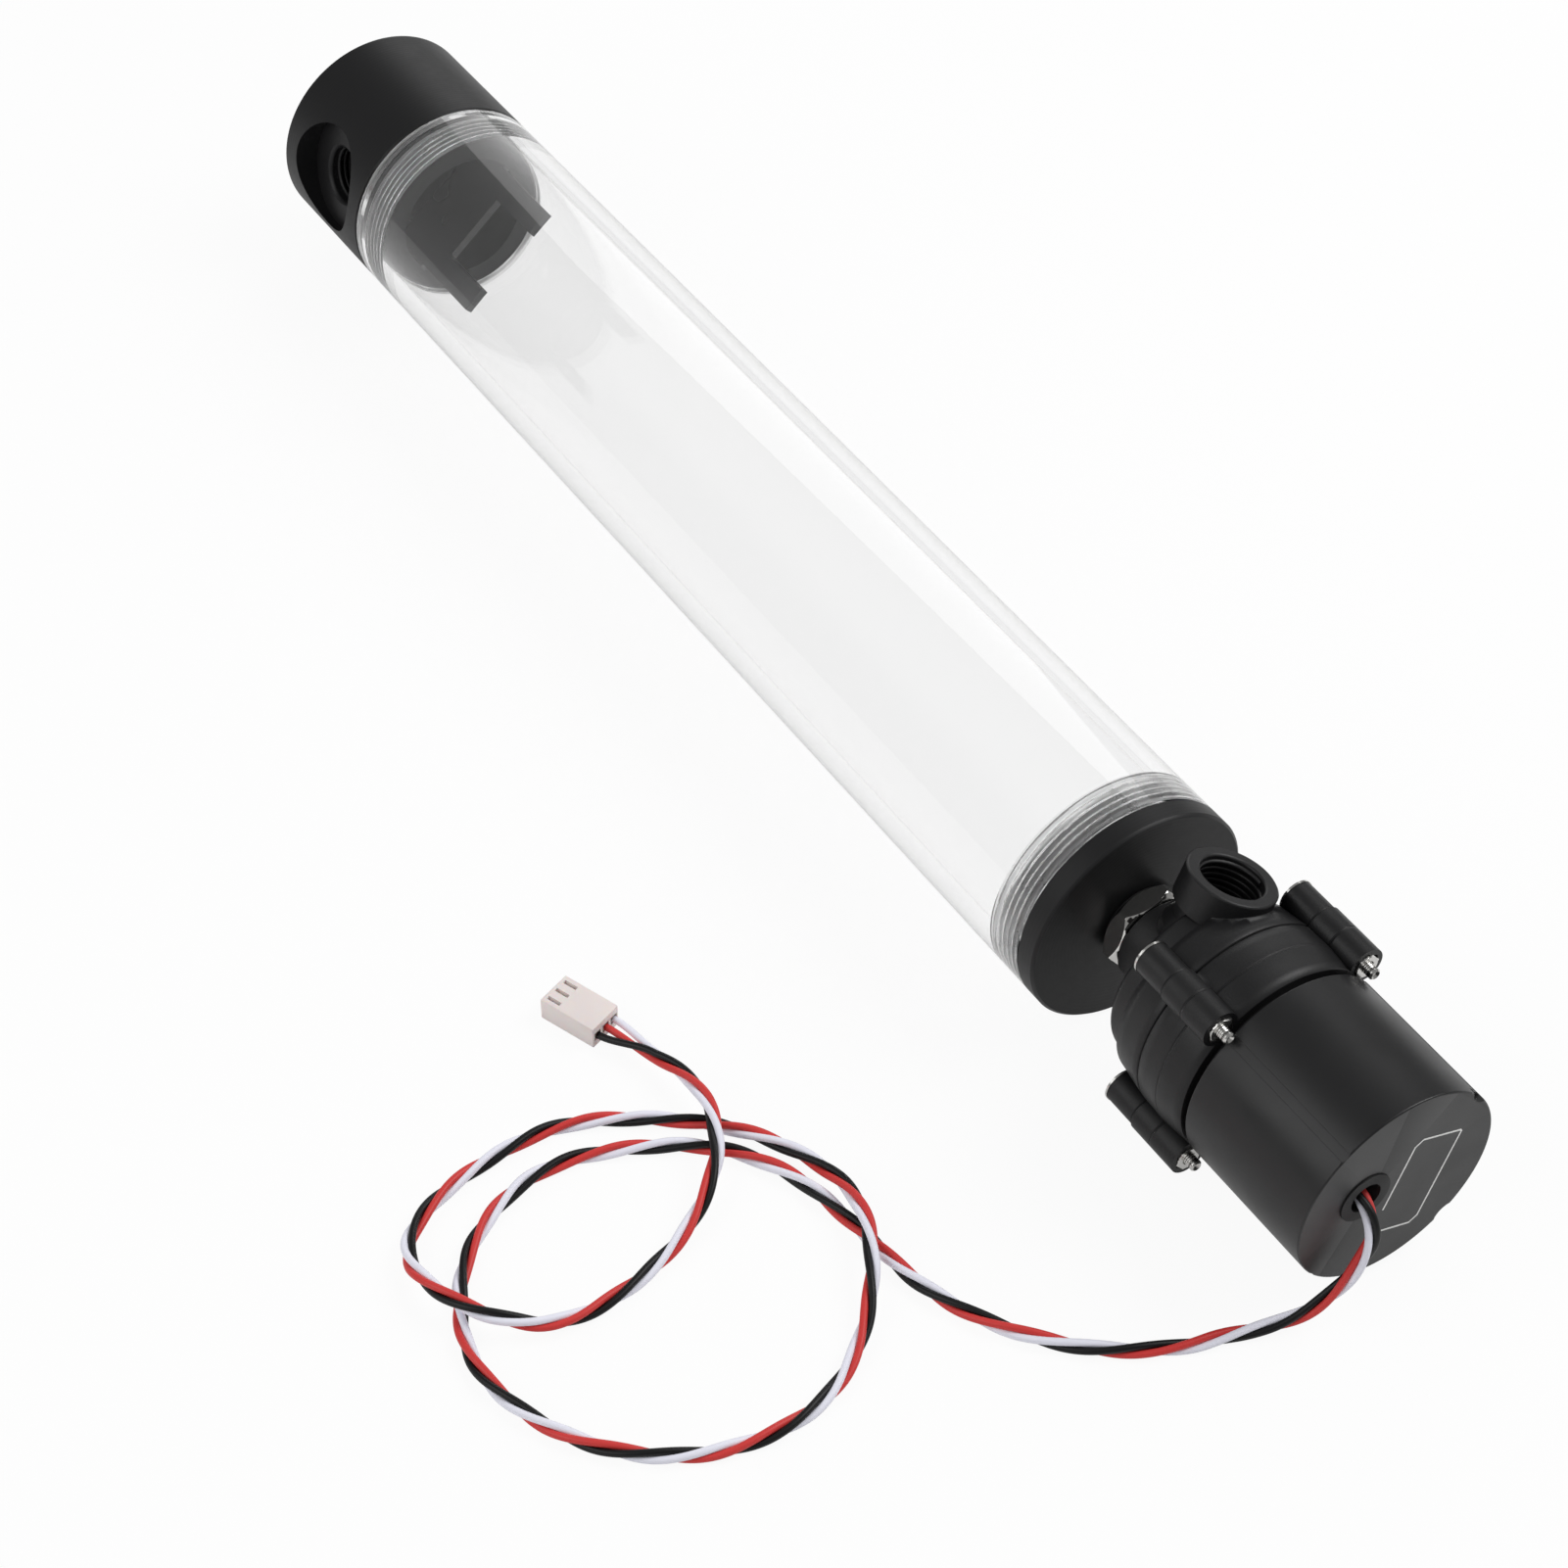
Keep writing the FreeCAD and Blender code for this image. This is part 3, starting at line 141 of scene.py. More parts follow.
def speckle(tree, bsdf, grain, depth, low, high):
    """Fine grain: bumps of a real size in metres, and a roughness that wanders between two values."""
    place = add(tree, "ShaderNodeTexCoord").outputs["Object"]
    noise = add(tree, "ShaderNodeTexNoise", {"Vector": place, "Scale": 1 / grain, "Detail": 3.0})
    patches = add(tree, "ShaderNodeTexNoise", {"Vector": place, "Scale": 0.03 / grain, "Detail": 2.0})
    spread = add(tree, "ShaderNodeMapRange", {
        "Value": patches.outputs["Fac"], "From Min": 0.3, "From Max": 0.7, "To Min": low, "To Max": high})
    tree.links.new(spread.outputs["Result"], bsdf.inputs["Roughness"])
    bump = add(tree, "ShaderNodeBump", {"Height": noise.outputs["Fac"], "Distance": depth})
    tree.links.new(bump.outputs["Normal"], bsdf.inputs["Normal"])
    return bump


# %% [markdown]
# The camera comes first and the lead second, because they decide where everything else may go. The
# lead is three thin wires, white, red and black, twisted together. Its route is a smooth curve through
# the air and over the table: out of the motor, down, twice round a loose hank, and back to the plug.

# %% Route of the lead
BOARD_END = (185.725, -7.5, 27.1)
PLUG_END = (65.78, -91.39, 2.7)
LEAD_ROUTE = (
    BOARD_END,
    (192.6, -7.6, 27.0), (197.2, -8.4, 22.5), (197.3, -10.6, 15.4), (196.2, -15.4, 7.6),
    (193.9, -22.4, 2.6), (190.4, -31.6, 1.7), (186.8, -44.2, 1.7), (178.2, -57.4, 1.7),
    (164.8, -68.4, 1.7), (149.6, -74.8, 1.7), (132.6, -76.6, 1.7), (115.4, -79.6, 1.7),
    (101.6, -88.4, 1.7), (92.6, -103.2, 1.7), (87.9, -119.6, 1.7), (93.4, -135.4, 1.7),
    (104.0, -146.6, 1.7), (120.4, -153.2, 1.7), (138.6, -149.0, 1.7), (153.4, -138.2, 1.7),
    (162.0, -123.0, 1.7), (163.0, -104.4, 1.7), (154.6, -89.8, 2.0), (142.4, -79.4, 5.3),
    (129.4, -73.8, 5.3), (114.4, -75.0, 2.2), (100.2, -82.6, 1.7), (88.6, -96.0, 1.7),
    (80.6, -111.4, 1.7), (80.9, -127.4, 1.7), (84.4, -141.8, 1.7), (91.8, -151.2, 2.4),
    (103.6, -151.8, 5.3), (115.8, -145.6, 5.3), (122.6, -134.6, 2.4), (121.6, -118.6, 1.7),
    (116.6, -103.8, 2.2), (109.0, -92.8, 5.3), (99.2, -86.8, 5.3), (89.6, -84.9, 5.3),
    (77.0, -87.2, 3.2),
    PLUG_END,
)

curve = bpy.data.curves.new("lead_route", "CURVE")
curve.dimensions = "3D"
spline = curve.splines.new("NURBS")
spline.points.add(len(LEAD_ROUTE) - 1)
for point, corner in zip(spline.points, LEAD_ROUTE):
    point.co = (*(c * MM for c in corner), 1.0)
spline.order_u = 3
spline.use_endpoint_u = True
spline.resolution_u = 24
route = new_object("lead_route", curve)
bpy.context.view_layer.update()
route_mesh = bpy.data.meshes.new_from_object(route)
route_points = [v.co.copy() for v in route_mesh.vertices]
bpy.data.objects.remove(route)
bpy.data.meshes.remove(route_mesh)
lead_length = sum((b - a).length for a, b in zip(route_points, route_points[1:]))
print("lead follows %d points, %.1f mm" % (len(route_points), lead_length / MM))

# %% [markdown]
# The three wires have the same insulation in three colours.

# %% Insulation of the wires
WIRE_COLOURS = (("white", "F1F1FD"), ("red", "D63E3C"), ("black", "0B0B0D"))

wire_materials = []
for name, colour in WIRE_COLOURS:
    # Extruded silicone rubber: smooth, slightly glossy, with a faint waviness
    material, tree, bsdf = new_material("silicone_wire_" + name, colour, 0.44, Specular_IOR_Level=0.32)
    speckle(tree, bsdf, 3 * MM, 0.01 * MM, 0.4, 0.48)
    wire_materials.append(material)
print("wire materials:", len(wire_materials))

# %% [markdown]
# A tube along a route needs two directions across the route at each point. They are carried from point to
# point, so that the tube doesn't twist by itself.

# %% Helpers for tubes along a route
def carried_frames(points):
    """At each point, the way ahead and one direction across it that twists as little as possible."""
    frames = []
    across = Vector((0, 0, 1))
    for i, point in enumerate(points):
        ahead = (points[min(i + 1, len(points) - 1)] - points[max(i - 1, 0)]).normalized()
        across = (across - across.dot(ahead) * ahead).normalized()
        frames.append((point, ahead, across, ahead.cross(across)))
    return frames


def add_tube(bm, centres, radius, sides, slot):
    """A round tube along centres, closed at both ends."""
    rings = []
    for point, ahead, across, beside in carried_frames(centres):
        ring = []
        for k in range(sides):
            angle = 2 * math.pi * k / sides
            off = radius * (math.cos(angle) * across + math.sin(angle) * beside)
            ring.append(bm.verts.new(point + off))
        rings.append(ring)
    faces = [bm.faces.new(list(reversed(rings[0]))), bm.faces.new(rings[-1])]
    for low, high in zip(rings, rings[1:]):
        for k in range(sides):
            faces.append(bm.faces.new((low[k], low[(k + 1) % sides], high[(k + 1) % sides], high[k])))
    for face in faces:
        face.material_index = slot
        face.smooth = len(face.verts) == 4


# %% [markdown]
# Each wire winds round the route as a left-handed helix. The turn is carried along the route with as
# little twist as possible, and then the helix adds its own, a tenth looser near the motor. Over the last
# stretch the three wires part and lie side by side, because the plug takes them in a row.

# %% Three twisted wires
WIRE_R = 0.735 * MM
TWIST_R = WIRE_R * 2 / math.sqrt(3)
TWIST_LENGTH = 30.17 * MM
FAN_LENGTH = 13 * MM
LOOSE_LENGTH = 100 * MM
LOOSE_SHARE = TWIST_LENGTH / 3 / LOOSE_LENGTH
FIRST_ANGLE = math.radians(220)
PLUG_PITCH = 2.54 * MM
WIRE_SIDES = 14

route_frames = carried_frames(route_points)
plug_side = Vector((0, 0, 1)).cross(route_frames[-1][1]).normalized()
wires = bmesh.new()
for number in range(len(WIRE_COLOURS)):
    centres = []
    gone = 0.0
    for i, (point, ahead, across, beside) in enumerate(route_frames):
        if i:
            gone += (point - route_points[i - 1]).length
        twisted = min(gone, lead_length - FAN_LENGTH) - LOOSE_SHARE * min(gone, LOOSE_LENGTH)
        angle = FIRST_ANGLE + 2 * math.pi * (number / len(WIRE_COLOURS) - twisted / TWIST_LENGTH)
        wound = TWIST_R * (math.cos(angle) * across + math.sin(angle) * beside)
        left = min(1.0, (lead_length - gone) / FAN_LENGTH)
        share = left * left * (3 - 2 * left)
        spread = plug_side * PLUG_PITCH * (number - 1)
        centres.append(point + wound * share + spread * (1 - share))
    add_tube(wires, centres, WIRE_R, WIRE_SIDES, number)
lead_mesh = bpy.data.meshes.new("lead_wires")
wires.to_mesh(lead_mesh)
wires.free()
lead = new_object("lead_wires", lead_mesh)
for material in wire_materials:
    lead_mesh.materials.append(material)
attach(lead, "reservoir")
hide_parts("cord")
print("wires:", len(lead_mesh.polygons), "faces")

# %% [markdown]
# Now the other materials. Acetal rod for the caps is cut on a lathe, so its faces carry fine circles and
# its sides fine rings. Both come from one wave over the distance along the axis plus the distance from it.
# The real feed marks are about 0.1 mm apart; they are drawn at 0.9 mm and very shallow, so that they only
# soften the highlights.

# %% Distances from the axis, for patterns on turned pieces
def turned_places(tree):
    """The distance along the axis, the distance from it, and the angle round it, in metres and turns."""
    place = add(tree, "ShaderNodeTexCoord").outputs["Object"]
    parts = add(tree, "ShaderNodeSeparateXYZ", {"Vector": place}).outputs
    height = add(tree, "ShaderNodeMath", {0: parts["Z"], 1: AXIS_Z}, operation="SUBTRACT")
    flat = add(tree, "ShaderNodeCombineXYZ", {"X": parts["Y"], "Y": height})
    radius = add(tree, "ShaderNodeVectorMath", {0: flat}, operation="LENGTH").outputs["Value"]
    angle = add(tree, "ShaderNodeMath", {0: height, 1: parts["Y"]}, operation="ARCTAN2")
    turns = add(tree, "ShaderNodeMath", {0: angle, 1: 2 * math.pi}, operation="DIVIDE")
    return parts["X"], radius, turns


# %% [markdown]
# The caps' spigots carry a thread too, which shows through the tube. It is a bump along a helix, kept to
# large radii inside the tube's ends. The feed marks stay off the narrow bores, where none show.

# %% Turned black acetal, for the caps and the fill plug
FEED = 0.9 * MM
FEED_DEPTH = 0.0025 * MM
BORE_EDGE = 12 * MM
SPIGOT_PITCH = 1.5 * MM
SPIGOT_DEPTH = 0.7 * MM
SPIGOT_ROOT = 20.3 * MM
TUBE_LIP = 2 * MM
PATCH = 2 * MM
tube_middle = (tube_low.x + tube_high.x) / 2
tube_half = (tube_high.x - tube_low.x) / 2

acetal, tree, bsdf = new_material("turned_black_acetal", "1A1A1B", 0.44, Specular_IOR_Level=0.26)
along, radius, turns = turned_places(tree)
reach = add(tree, "ShaderNodeMath", {0: along, 1: radius}, operation="ADD")
phase = add(tree, "ShaderNodeMath", {0: reach, 1: 2 * math.pi / FEED}, operation="MULTIPLY")
feed = add(tree, "ShaderNodeMath", {0: phase}, operation="SINE")
outside = add(tree, "ShaderNodeMath", {0: radius, 1: BORE_EDGE}, operation="GREATER_THAN")
marks = add(tree, "ShaderNodeMath", {0: feed, 1: outside}, operation="MULTIPLY")
feed_height = add(tree, "ShaderNodeMath", {0: marks, 1: FEED_DEPTH}, operation="MULTIPLY")

pitches = add(tree, "ShaderNodeMath", {0: along, 1: SPIGOT_PITCH}, operation="DIVIDE")
helix = add(tree, "ShaderNodeMath", {0: pitches, 1: turns}, operation="SUBTRACT")
ridge = add(tree, "ShaderNodeMath", {0: helix, 1: 1.0}, operation="PINGPONG")
offset = add(tree, "ShaderNodeMath", {0: along, 1: tube_middle}, operation="SUBTRACT")
from_middle = add(tree, "ShaderNodeMath", {0: offset}, operation="ABSOLUTE")
in_tube = add(tree, "ShaderNodeMath", {0: from_middle, 1: tube_half - TUBE_LIP}, operation="LESS_THAN")
wide = add(tree, "ShaderNodeMath", {0: radius, 1: SPIGOT_ROOT}, operation="GREATER_THAN")
on_spigot = add(tree, "ShaderNodeMath", {0: wide, 1: in_tube}, operation="MULTIPLY")
spigot_ridge = add(tree, "ShaderNodeMath", {0: ridge, 1: on_spigot}, operation="MULTIPLY")
thread_height = add(tree, "ShaderNodeMath", {0: spigot_ridge, 1: SPIGOT_DEPTH}, operation="MULTIPLY")

height = add(tree, "ShaderNodeMath", {0: thread_height, 1: feed_height}, operation="ADD")
bump = add(tree, "ShaderNodeBump", {"Height": height, "Distance": 1.0})
place = add(tree, "ShaderNodeTexCoord").outputs["Object"]
patches = add(tree, "ShaderNodeTexNoise", {"Vector": place, "Scale": 1 / PATCH, "Detail": 4.0})
spread = add(tree, "ShaderNodeMapRange", {
    "Value": patches.outputs["Fac"], "From Min": 0.3, "From Max": 0.7, "To Min": 0.42, "To Max": 0.46})
tree.links.new(spread.outputs["Result"], bsdf.inputs["Roughness"])
tree.links.new(bump.outputs["Normal"], bsdf.inputs["Normal"])
print("acetal nodes:", len(tree.nodes))

# %% [markdown]
# The pump is moulded in glass-filled black plastic, in a tool whose steel was spark-eroded. That leaves
# an even, fine grain with soft highlights. The motor can's tool was smoother, so it shines a bit more.
# The CAD pieces have fine chamfers at the casing's seam and at the body's parting line; a bump across
# each deepens them, so that they read as lines from afar.

# %% Moulded black plastics
SEAM_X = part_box("pump_front_cover")[1].x
PARTING_PLACE = 6.1 * MM
SEAM_WIDTH = 0.3 * MM
SEAM_DEPTH = 0.2 * MM

moulded, tree, bsdf = new_material("spark_eroded_black_plastic", "151516", 0.44, Specular_IOR_Level=0.38)
grain_bump = speckle(tree, bsdf, 0.35 * MM, 0.03 * MM, 0.38, 0.52)
along, radius, turns = turned_places(tree)
notches = 0.0
for line in (SEAM_X, SEAM_X + PARTING_PLACE):
    offset = add(tree, "ShaderNodeMath", {0: along, 1: line}, operation="SUBTRACT")
    away = add(tree, "ShaderNodeMath", {0: offset}, operation="ABSOLUTE")
    share = add(tree, "ShaderNodeMath", {0: away, 1: SEAM_WIDTH}, operation="DIVIDE")
    near = add(tree, "ShaderNodeMath", {0: 1.0, 1: share}, operation="SUBTRACT")
    notch = add(tree, "ShaderNodeMath", {0: near, 1: 0.0}, operation="MAXIMUM")
    notches = add(tree, "ShaderNodeMath", {0: notches, 1: notch}, operation="ADD")
seam_bump = add(tree, "ShaderNodeBump", {"Height": notches, "Distance": SEAM_DEPTH}, invert=True)
tree.links.new(seam_bump.outputs["Normal"], grain_bump.inputs["Normal"])
can_plastic, tree, bsdf = new_material("smooth_black_plastic", "161617", 0.38, Specular_IOR_Level=0.42)
speckle(tree, bsdf, 0.5 * MM, 0.01 * MM, 0.32, 0.42)
rotor_plastic, tree, bsdf = new_material("moulded_grey_nylon", "2A2A2C", 0.5)
speckle(tree, bsdf, 0.4 * MM, 0.02 * MM, 0.44, 0.56)

# %% [markdown]
# Rubber seals scatter light evenly. Metals take their colour from their reflections, so they only need
# a tint, a roughness and a very faint unevenness. The nipple is brass under bright nickel.

# %% Rubber and metals
rubber, tree, bsdf = new_material("moulded_seal_rubber", "0E0E0F", 0.66)
speckle(tree, bsdf, 0.25 * MM, 0.02 * MM, 0.6, 0.74)
nickel, tree, bsdf = new_material("bright_nickel_plate", "DEDDDA", 0.1, Metallic=1.0)
speckle(tree, bsdf, 1.2 * MM, 0.006 * MM, 0.07, 0.14)
zinc, tree, bsdf = new_material("zinc_plated_steel", "D2D1CE", 0.2, Metallic=1.0)
speckle(tree, bsdf, 0.4 * MM, 0.003 * MM, 0.16, 0.26)
tin, tree, bsdf = new_material("tinned_bronze", "8E6E3E", 0.35, Metallic=1.0)
speckle(tree, bsdf, 0.4 * MM, 0.01 * MM, 0.3, 0.42)
# The core is a stack of thin sheets, so fine lines run round it
SHEET = 0.5 * MM
core_steel, tree, bsdf = new_material("laminated_core_steel", "70737A", 0.45, Metallic=1.0)
along, radius, turns = turned_places(tree)
phase = add(tree, "ShaderNodeMath", {0: along, 1: 2 * math.pi / SHEET}, operation="MULTIPLY")
sheets = add(tree, "ShaderNodeMath", {0: phase}, operation="SINE")
bump = add(tree, "ShaderNodeBump", {"Height": sheets, "Distance": 0.05 * MM})
tree.links.new(bump.outputs["Normal"], bsdf.inputs["Normal"])

# %% Inner pieces: copper, ceramic, ferrite, graphite, board
copper, tree, bsdf = new_material("enamelled_copper", "B4622E", 0.3, Metallic=1.0, Coat_Weight=0.4)
speckle(tree, bsdf, 0.5 * MM, 0.08 * MM, 0.26, 0.38)
ceramic, tree, bsdf = new_material("ground_alumina", "E9E7DF", 0.22)
speckle(tree, bsdf, 0.3 * MM, 0.005 * MM, 0.18, 0.28)
ferrite, tree, bsdf = new_material("ground_ferrite", "2B2B2E", 0.42, Specular_IOR_Level=0.6)
speckle(tree, bsdf, 0.3 * MM, 0.01 * MM, 0.36, 0.5)
graphite, tree, bsdf = new_material("carbon_bushing", "1C1C1F", 0.5)
speckle(tree, bsdf, 0.3 * MM, 0.01 * MM, 0.44, 0.58)
board, tree, bsdf = new_material("green_solder_mask", "14502B", 0.35, Coat_Weight=0.3)
speckle(tree, bsdf, 0.8 * MM, 0.01 * MM, 0.3, 0.42)

# %% [markdown]
# The plug's housing is moulded in off-white nylon, which lets a little light in and so looks soft.

# %% Nylon of the plug
nylon, tree, bsdf = new_material("offwhite_nylon", "EFE5E2", 0.45, Subsurface_Weight=0.15,
                                 Subsurface_Scale=1.0 * MM)
speckle(tree, bsdf, 0.5 * MM, 0.02 * MM, 0.4, 0.52)

# %% [markdown]
# Cast acrylic is clear and bends light about as much as light glass. Where a thread has been cut into it
# the surface is left finely torn, so it looks frosted. The plate in the top cap is milled from a black
# sheet.

# %% Clear and black acrylic
acrylic, tree, bsdf = new_material("cast_clear_acrylic", "FBFBFB", 0.0, Transmission_Weight=1.0, IOR=1.49)
place = add(tree, "ShaderNodeTexCoord").outputs["Object"]
waves = add(tree, "ShaderNodeTexNoise", {"Vector": place, "Scale": 1 / (25 * MM), "Detail": 2.0})
bump = add(tree, "ShaderNodeBump", {"Height": waves.outputs["Fac"], "Distance": 0.004 * MM})
tree.links.new(bump.outputs["Normal"], bsdf.inputs["Normal"])
cut_acrylic, tree, bsdf = new_material("thread_cut_acrylic", "F6F6F6", 0.3, Transmission_Weight=0.75,
                                       IOR=1.49)
speckle(tree, bsdf, 0.3 * MM, 0.01 * MM, 0.26, 0.36)
plate_acrylic, tree, bsdf = new_material("milled_black_acrylic", "19191B", 0.3)
speckle(tree, bsdf, 0.5 * MM, 0.01 * MM, 0.26, 0.38)

# %% [markdown]
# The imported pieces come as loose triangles. Each visible one gets a copy whose points are merged, so
# that it can shade as smooth. Long thin triangles still leave streaks, where a flat face runs into a
# rounding or a round side is cut by something. Most surfaces here are turned about a known axis, so
# their true normals can be worked out: away from the axis on round sides, and square to flat faces.

# %% Axes that surfaces are turned about
LUG_ROLL = math.radians(38.5)
LUG_CIRCLE = 24.5 * MM
LUGS = 4

mounts = {m["name"]: m for m in frame["record"]["mounts"]}
AXES = [((0, 0, AXIS_Z), (1, 0, 0))]
AXES += [(mounts[port]["pos_m"], mounts[port]["axis"]) for port in ("side_port", "outlet_port")]
for number in range(LUGS):
    roll = LUG_ROLL + 2 * math.pi * number / LUGS
    AXES.append(((0, LUG_CIRCLE * math.cos(roll), AXIS_Z + LUG_CIRCLE * math.sin(roll)), (1, 0, 0)))
print("axes:", len(AXES))

# %% True normals
FLAT_COUNT = 6
SAME_PLANE = 0.999998
ROUND_ERROR = 0.01 * MM
SQUARE_TO_AXIS = 0.05
FACING_AXIS = 0.9


def flat_faces(bm):
    """Numbers of the triangles that lie in one plane with several neighbours."""
    found, seen = set(), set()
    for start in bm.faces:
        if start.index in seen:
            continue
        seen.add(start.index)
        group, left = [start.index], [start]
        while left:
            face = left.pop()
            for edge in face.edges:
                for other in edge.link_faces:
                    if other.index not in seen and other.normal.dot(start.normal) > SAME_PLANE:
                        seen.add(other.index)
                        group.append(other.index)
                        left.append(other)
        if len(group) >= FLAT_COUNT:
            found.update(group)
    return found


def set_true_normals(mesh, flat, error):
    """Normals of round and flat surfaces at each corner of a mesh of triangles."""
    corners = np.empty(len(mesh.loops), int)
    mesh.loops.foreach_get("vertex_index", corners)
    corners = corners.reshape(-1, 3)
    places = np.empty(3 * len(mesh.vertices))
    mesh.vertices.foreach_get("co", places)
    places = places.reshape(-1, 3)
    square = np.empty(3 * len(mesh.polygons))
    mesh.polygons.foreach_get("normal", square)
    square = square.reshape(-1, 3)
    normals = np.zeros((len(corners), 3, 3))
    for place, way in AXES:
        way = np.array(way) / np.linalg.norm(way)
        off = places - np.array(place)
        off -= np.outer(off @ way, way)
        radius = np.linalg.norm(off, axis=1)
        radii = radius[corners]
        outward = off[corners] / np.maximum(radii, 1e-9)[:, :, None]
        facing = (outward.mean(axis=1) * square).sum(axis=1)
        turned = ((np.ptp(radii, axis=1) < error) & (abs(square @ way) < SQUARE_TO_AXIS)
                  & (abs(facing) > FACING_AXIS) & (normals[:, 0, :] == 0).all(axis=1))
        normals[turned] = (outward * np.sign(facing)[:, None, None])[turned]
    for number in flat:
        if not normals[number].any():
            normals[number] = square[number]
    mesh.normals_split_custom_set(normals.reshape(-1, 3))


# %% Helpers for dressed copies of the CAD pieces
WELD = 0.002 * MM
SHARP = math.radians(32)
BODY_OF = {node: body for body, nodes in frame["record"]["behaviour"]["bodies"].items() for node in nodes}
SLOT_OF = {entry["node"]: entry["material_slot"] for entry in frame["record"]["subparts"]}


def place_piece(obj, body, slot, *replaced):
    """Let a finished piece ride on its body and stand for the CAD pieces it replaces."""
    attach(obj, body)
    if replaced:
        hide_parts(*replaced)
    return obj


def dressed(node, material, error=ROUND_ERROR):
    """A merged copy of a CAD piece, which is smooth where it is round to within an error."""
    mesh = frame["nodes"][node].data.copy()
    bm = bmesh.new()
    bm.from_mesh(mesh)
    bmesh.ops.remove_doubles(bm, verts=bm.verts, dist=WELD)
    bm.normal_update()
    bm.faces.index_update()
    flat = flat_faces(bm)
    for face in bm.faces:
        face.smooth = True
    bm.to_mesh(mesh)
    bm.free()
    mesh.set_sharp_from_angle(angle=SHARP)
    set_true_normals(mesh, flat, error)
    mesh.materials.clear()
    mesh.materials.append(material)
    obj = new_object(node + "_dressed", mesh)
    return place_piece(obj, BODY_OF[node], SLOT_OF[node], node)


# %% [markdown]
# The motor can's side is round but for its flutes, which are shallow. Its corners count as round to within
# the flutes' depth, and those of the other pieces only to within a hundredth of a millimetre.

# %% Dressed copies of the CAD pieces
FLUTE_DEPTH = 0.2 * MM

for node, material in (
        ("top_cap", acetal), ("bottom_cap", acetal), ("fill_plug", acetal), ("nipple", nickel),
        ("pump_front_cover", moulded), ("pump_body", moulded), ("motor_can", can_plastic),
        ("cable_grommet", rubber), ("anti_vortex_plate", plate_acrylic),
        ("top_cap_seal", rubber), ("bottom_cap_seal", rubber), ("fill_plug_seal", rubber),
        ("nipple_seal_tank", rubber), ("nipple_seal_pump", rubber), ("casing_seal", rubber),
        ("impeller", rotor_plastic), ("rotor_magnet", ferrite), ("front_bushing", graphite),
        ("rear_bushing", graphite), ("shaft", ceramic), ("front_thrust_washer", ceramic),
        ("rear_thrust_washer", ceramic), ("stator_core", core_steel), ("stator_coils", copper),
        ("driver_board", board), ("board_components", moulded), ("crimp_contacts", tin)):
    dressed(node, material, FLUTE_DEPTH if node == "motor_can" else ROUND_ERROR)

# %% [markdown]
# The plug on the lead is moulded in nylon. It has a cavity for each contact, open at both ends, and
# narrow slots near its mouth show the contacts. The slots are narrower than the CAD solid's windows,
# so the housing is made here: a bevelled block with its openings cut out by Boolean modifiers.

# %% Helper for blocks
def block_object(name, low, high, bevel=0.0):
    """A block between two corners in the plug's own directions."""
    bm = bmesh.new()
    bmesh.ops.create_cube(bm, size=1)
    for vert in bm.verts:
        vert.co = Vector([low[i] + (high[i] - low[i]) * (vert.co[i] + 0.5) for i in range(3)])
    if bevel:
        bmesh.ops.bevel(bm, geom=bm.edges[:], offset=bevel, segments=2, affect="EDGES", profile=0.5)
    mesh = bpy.data.meshes.new(name)
    bm.to_mesh(mesh)
    bm.free()
    return new_object(name, mesh)


# %% Plug housing and the tools that cut its openings
PLUG_SIZE = Vector((13.2, 8.0, 5.4)) * MM
PLUG_EDGE = 0.22 * MM
CAVITY = 1.7 * MM
CAVITY_BACK = 1.2 * MM
SLOT_LENGTH = 3.2 * MM
SLOT_WIDTH = 0.85 * MM
SLOT_START = 0.8 * MM
BACK_HOLE_R = 0.95 * MM
BACK_HOLE_DEPTH = 2 * MM

half = PLUG_SIZE / 2
housing = block_object("nylon_housing", (-half.x, -half.y, 0), (half.x, half.y, PLUG_SIZE.z), PLUG_EDGE)
openings = []
for number in (-1, 0, 1):
    y = number * PLUG_PITCH
    openings.append(block_object("cavity", (-half.x - MM, y - CAVITY / 2, half.z - CAVITY / 2),
                                 (half.x - CAVITY_BACK, y + CAVITY / 2, half.z + CAVITY / 2)))
    slot_x = SLOT_START - half.x
    openings.append(block_object("slot", (slot_x, y - SLOT_WIDTH / 2, half.z),
                                 (slot_x + SLOT_LENGTH, y + SLOT_WIDTH / 2, PLUG_SIZE.z + MM)))
    back_x = half.x - BACK_HOLE_DEPTH
    openings.append(block_object("wire_way", (back_x, y - BACK_HOLE_R, half.z - BACK_HOLE_R),
                                 (half.x + MM, y + BACK_HOLE_R, half.z + BACK_HOLE_R)))
print("tools for openings:", len(openings))

# %% Plug housing, cut and put in its place
PLUG_TURN = math.radians(20.5)
housing_low, housing_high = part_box("plug_housing")
plug_middle = (housing_low + housing_high) / 2
plug_place = Matrix.Translation((plug_middle.x, plug_middle.y, 0)) @ Matrix.Rotation(PLUG_TURN, 4, "Z")

for number, tool in enumerate(openings):
    carve = housing.modifiers.new("opening_%d" % number, "BOOLEAN")
    carve.operation = "DIFFERENCE"
    carve.solver = "EXACT"
    carve.object = tool
bpy.context.view_layer.update()
carved = bpy.data.meshes.new_from_object(housing.evaluated_get(bpy.context.evaluated_depsgraph_get()))
housing.modifiers.clear()
housing.data = carved
for tool in openings:
    bpy.data.objects.remove(tool)
carved.transform(plug_place)
for face in carved.polygons:
    face.use_smooth = True
carved.set_sharp_from_angle(angle=math.radians(50))
carved.materials.clear()
carved.materials.append(nylon)
place_piece(housing, "reservoir", "nylon", "plug_housing")
print("plug housing:", len(carved.polygons), "faces")

# %% Length of the lead
print("lead declared, %.1f mm" % (lead_length / MM))

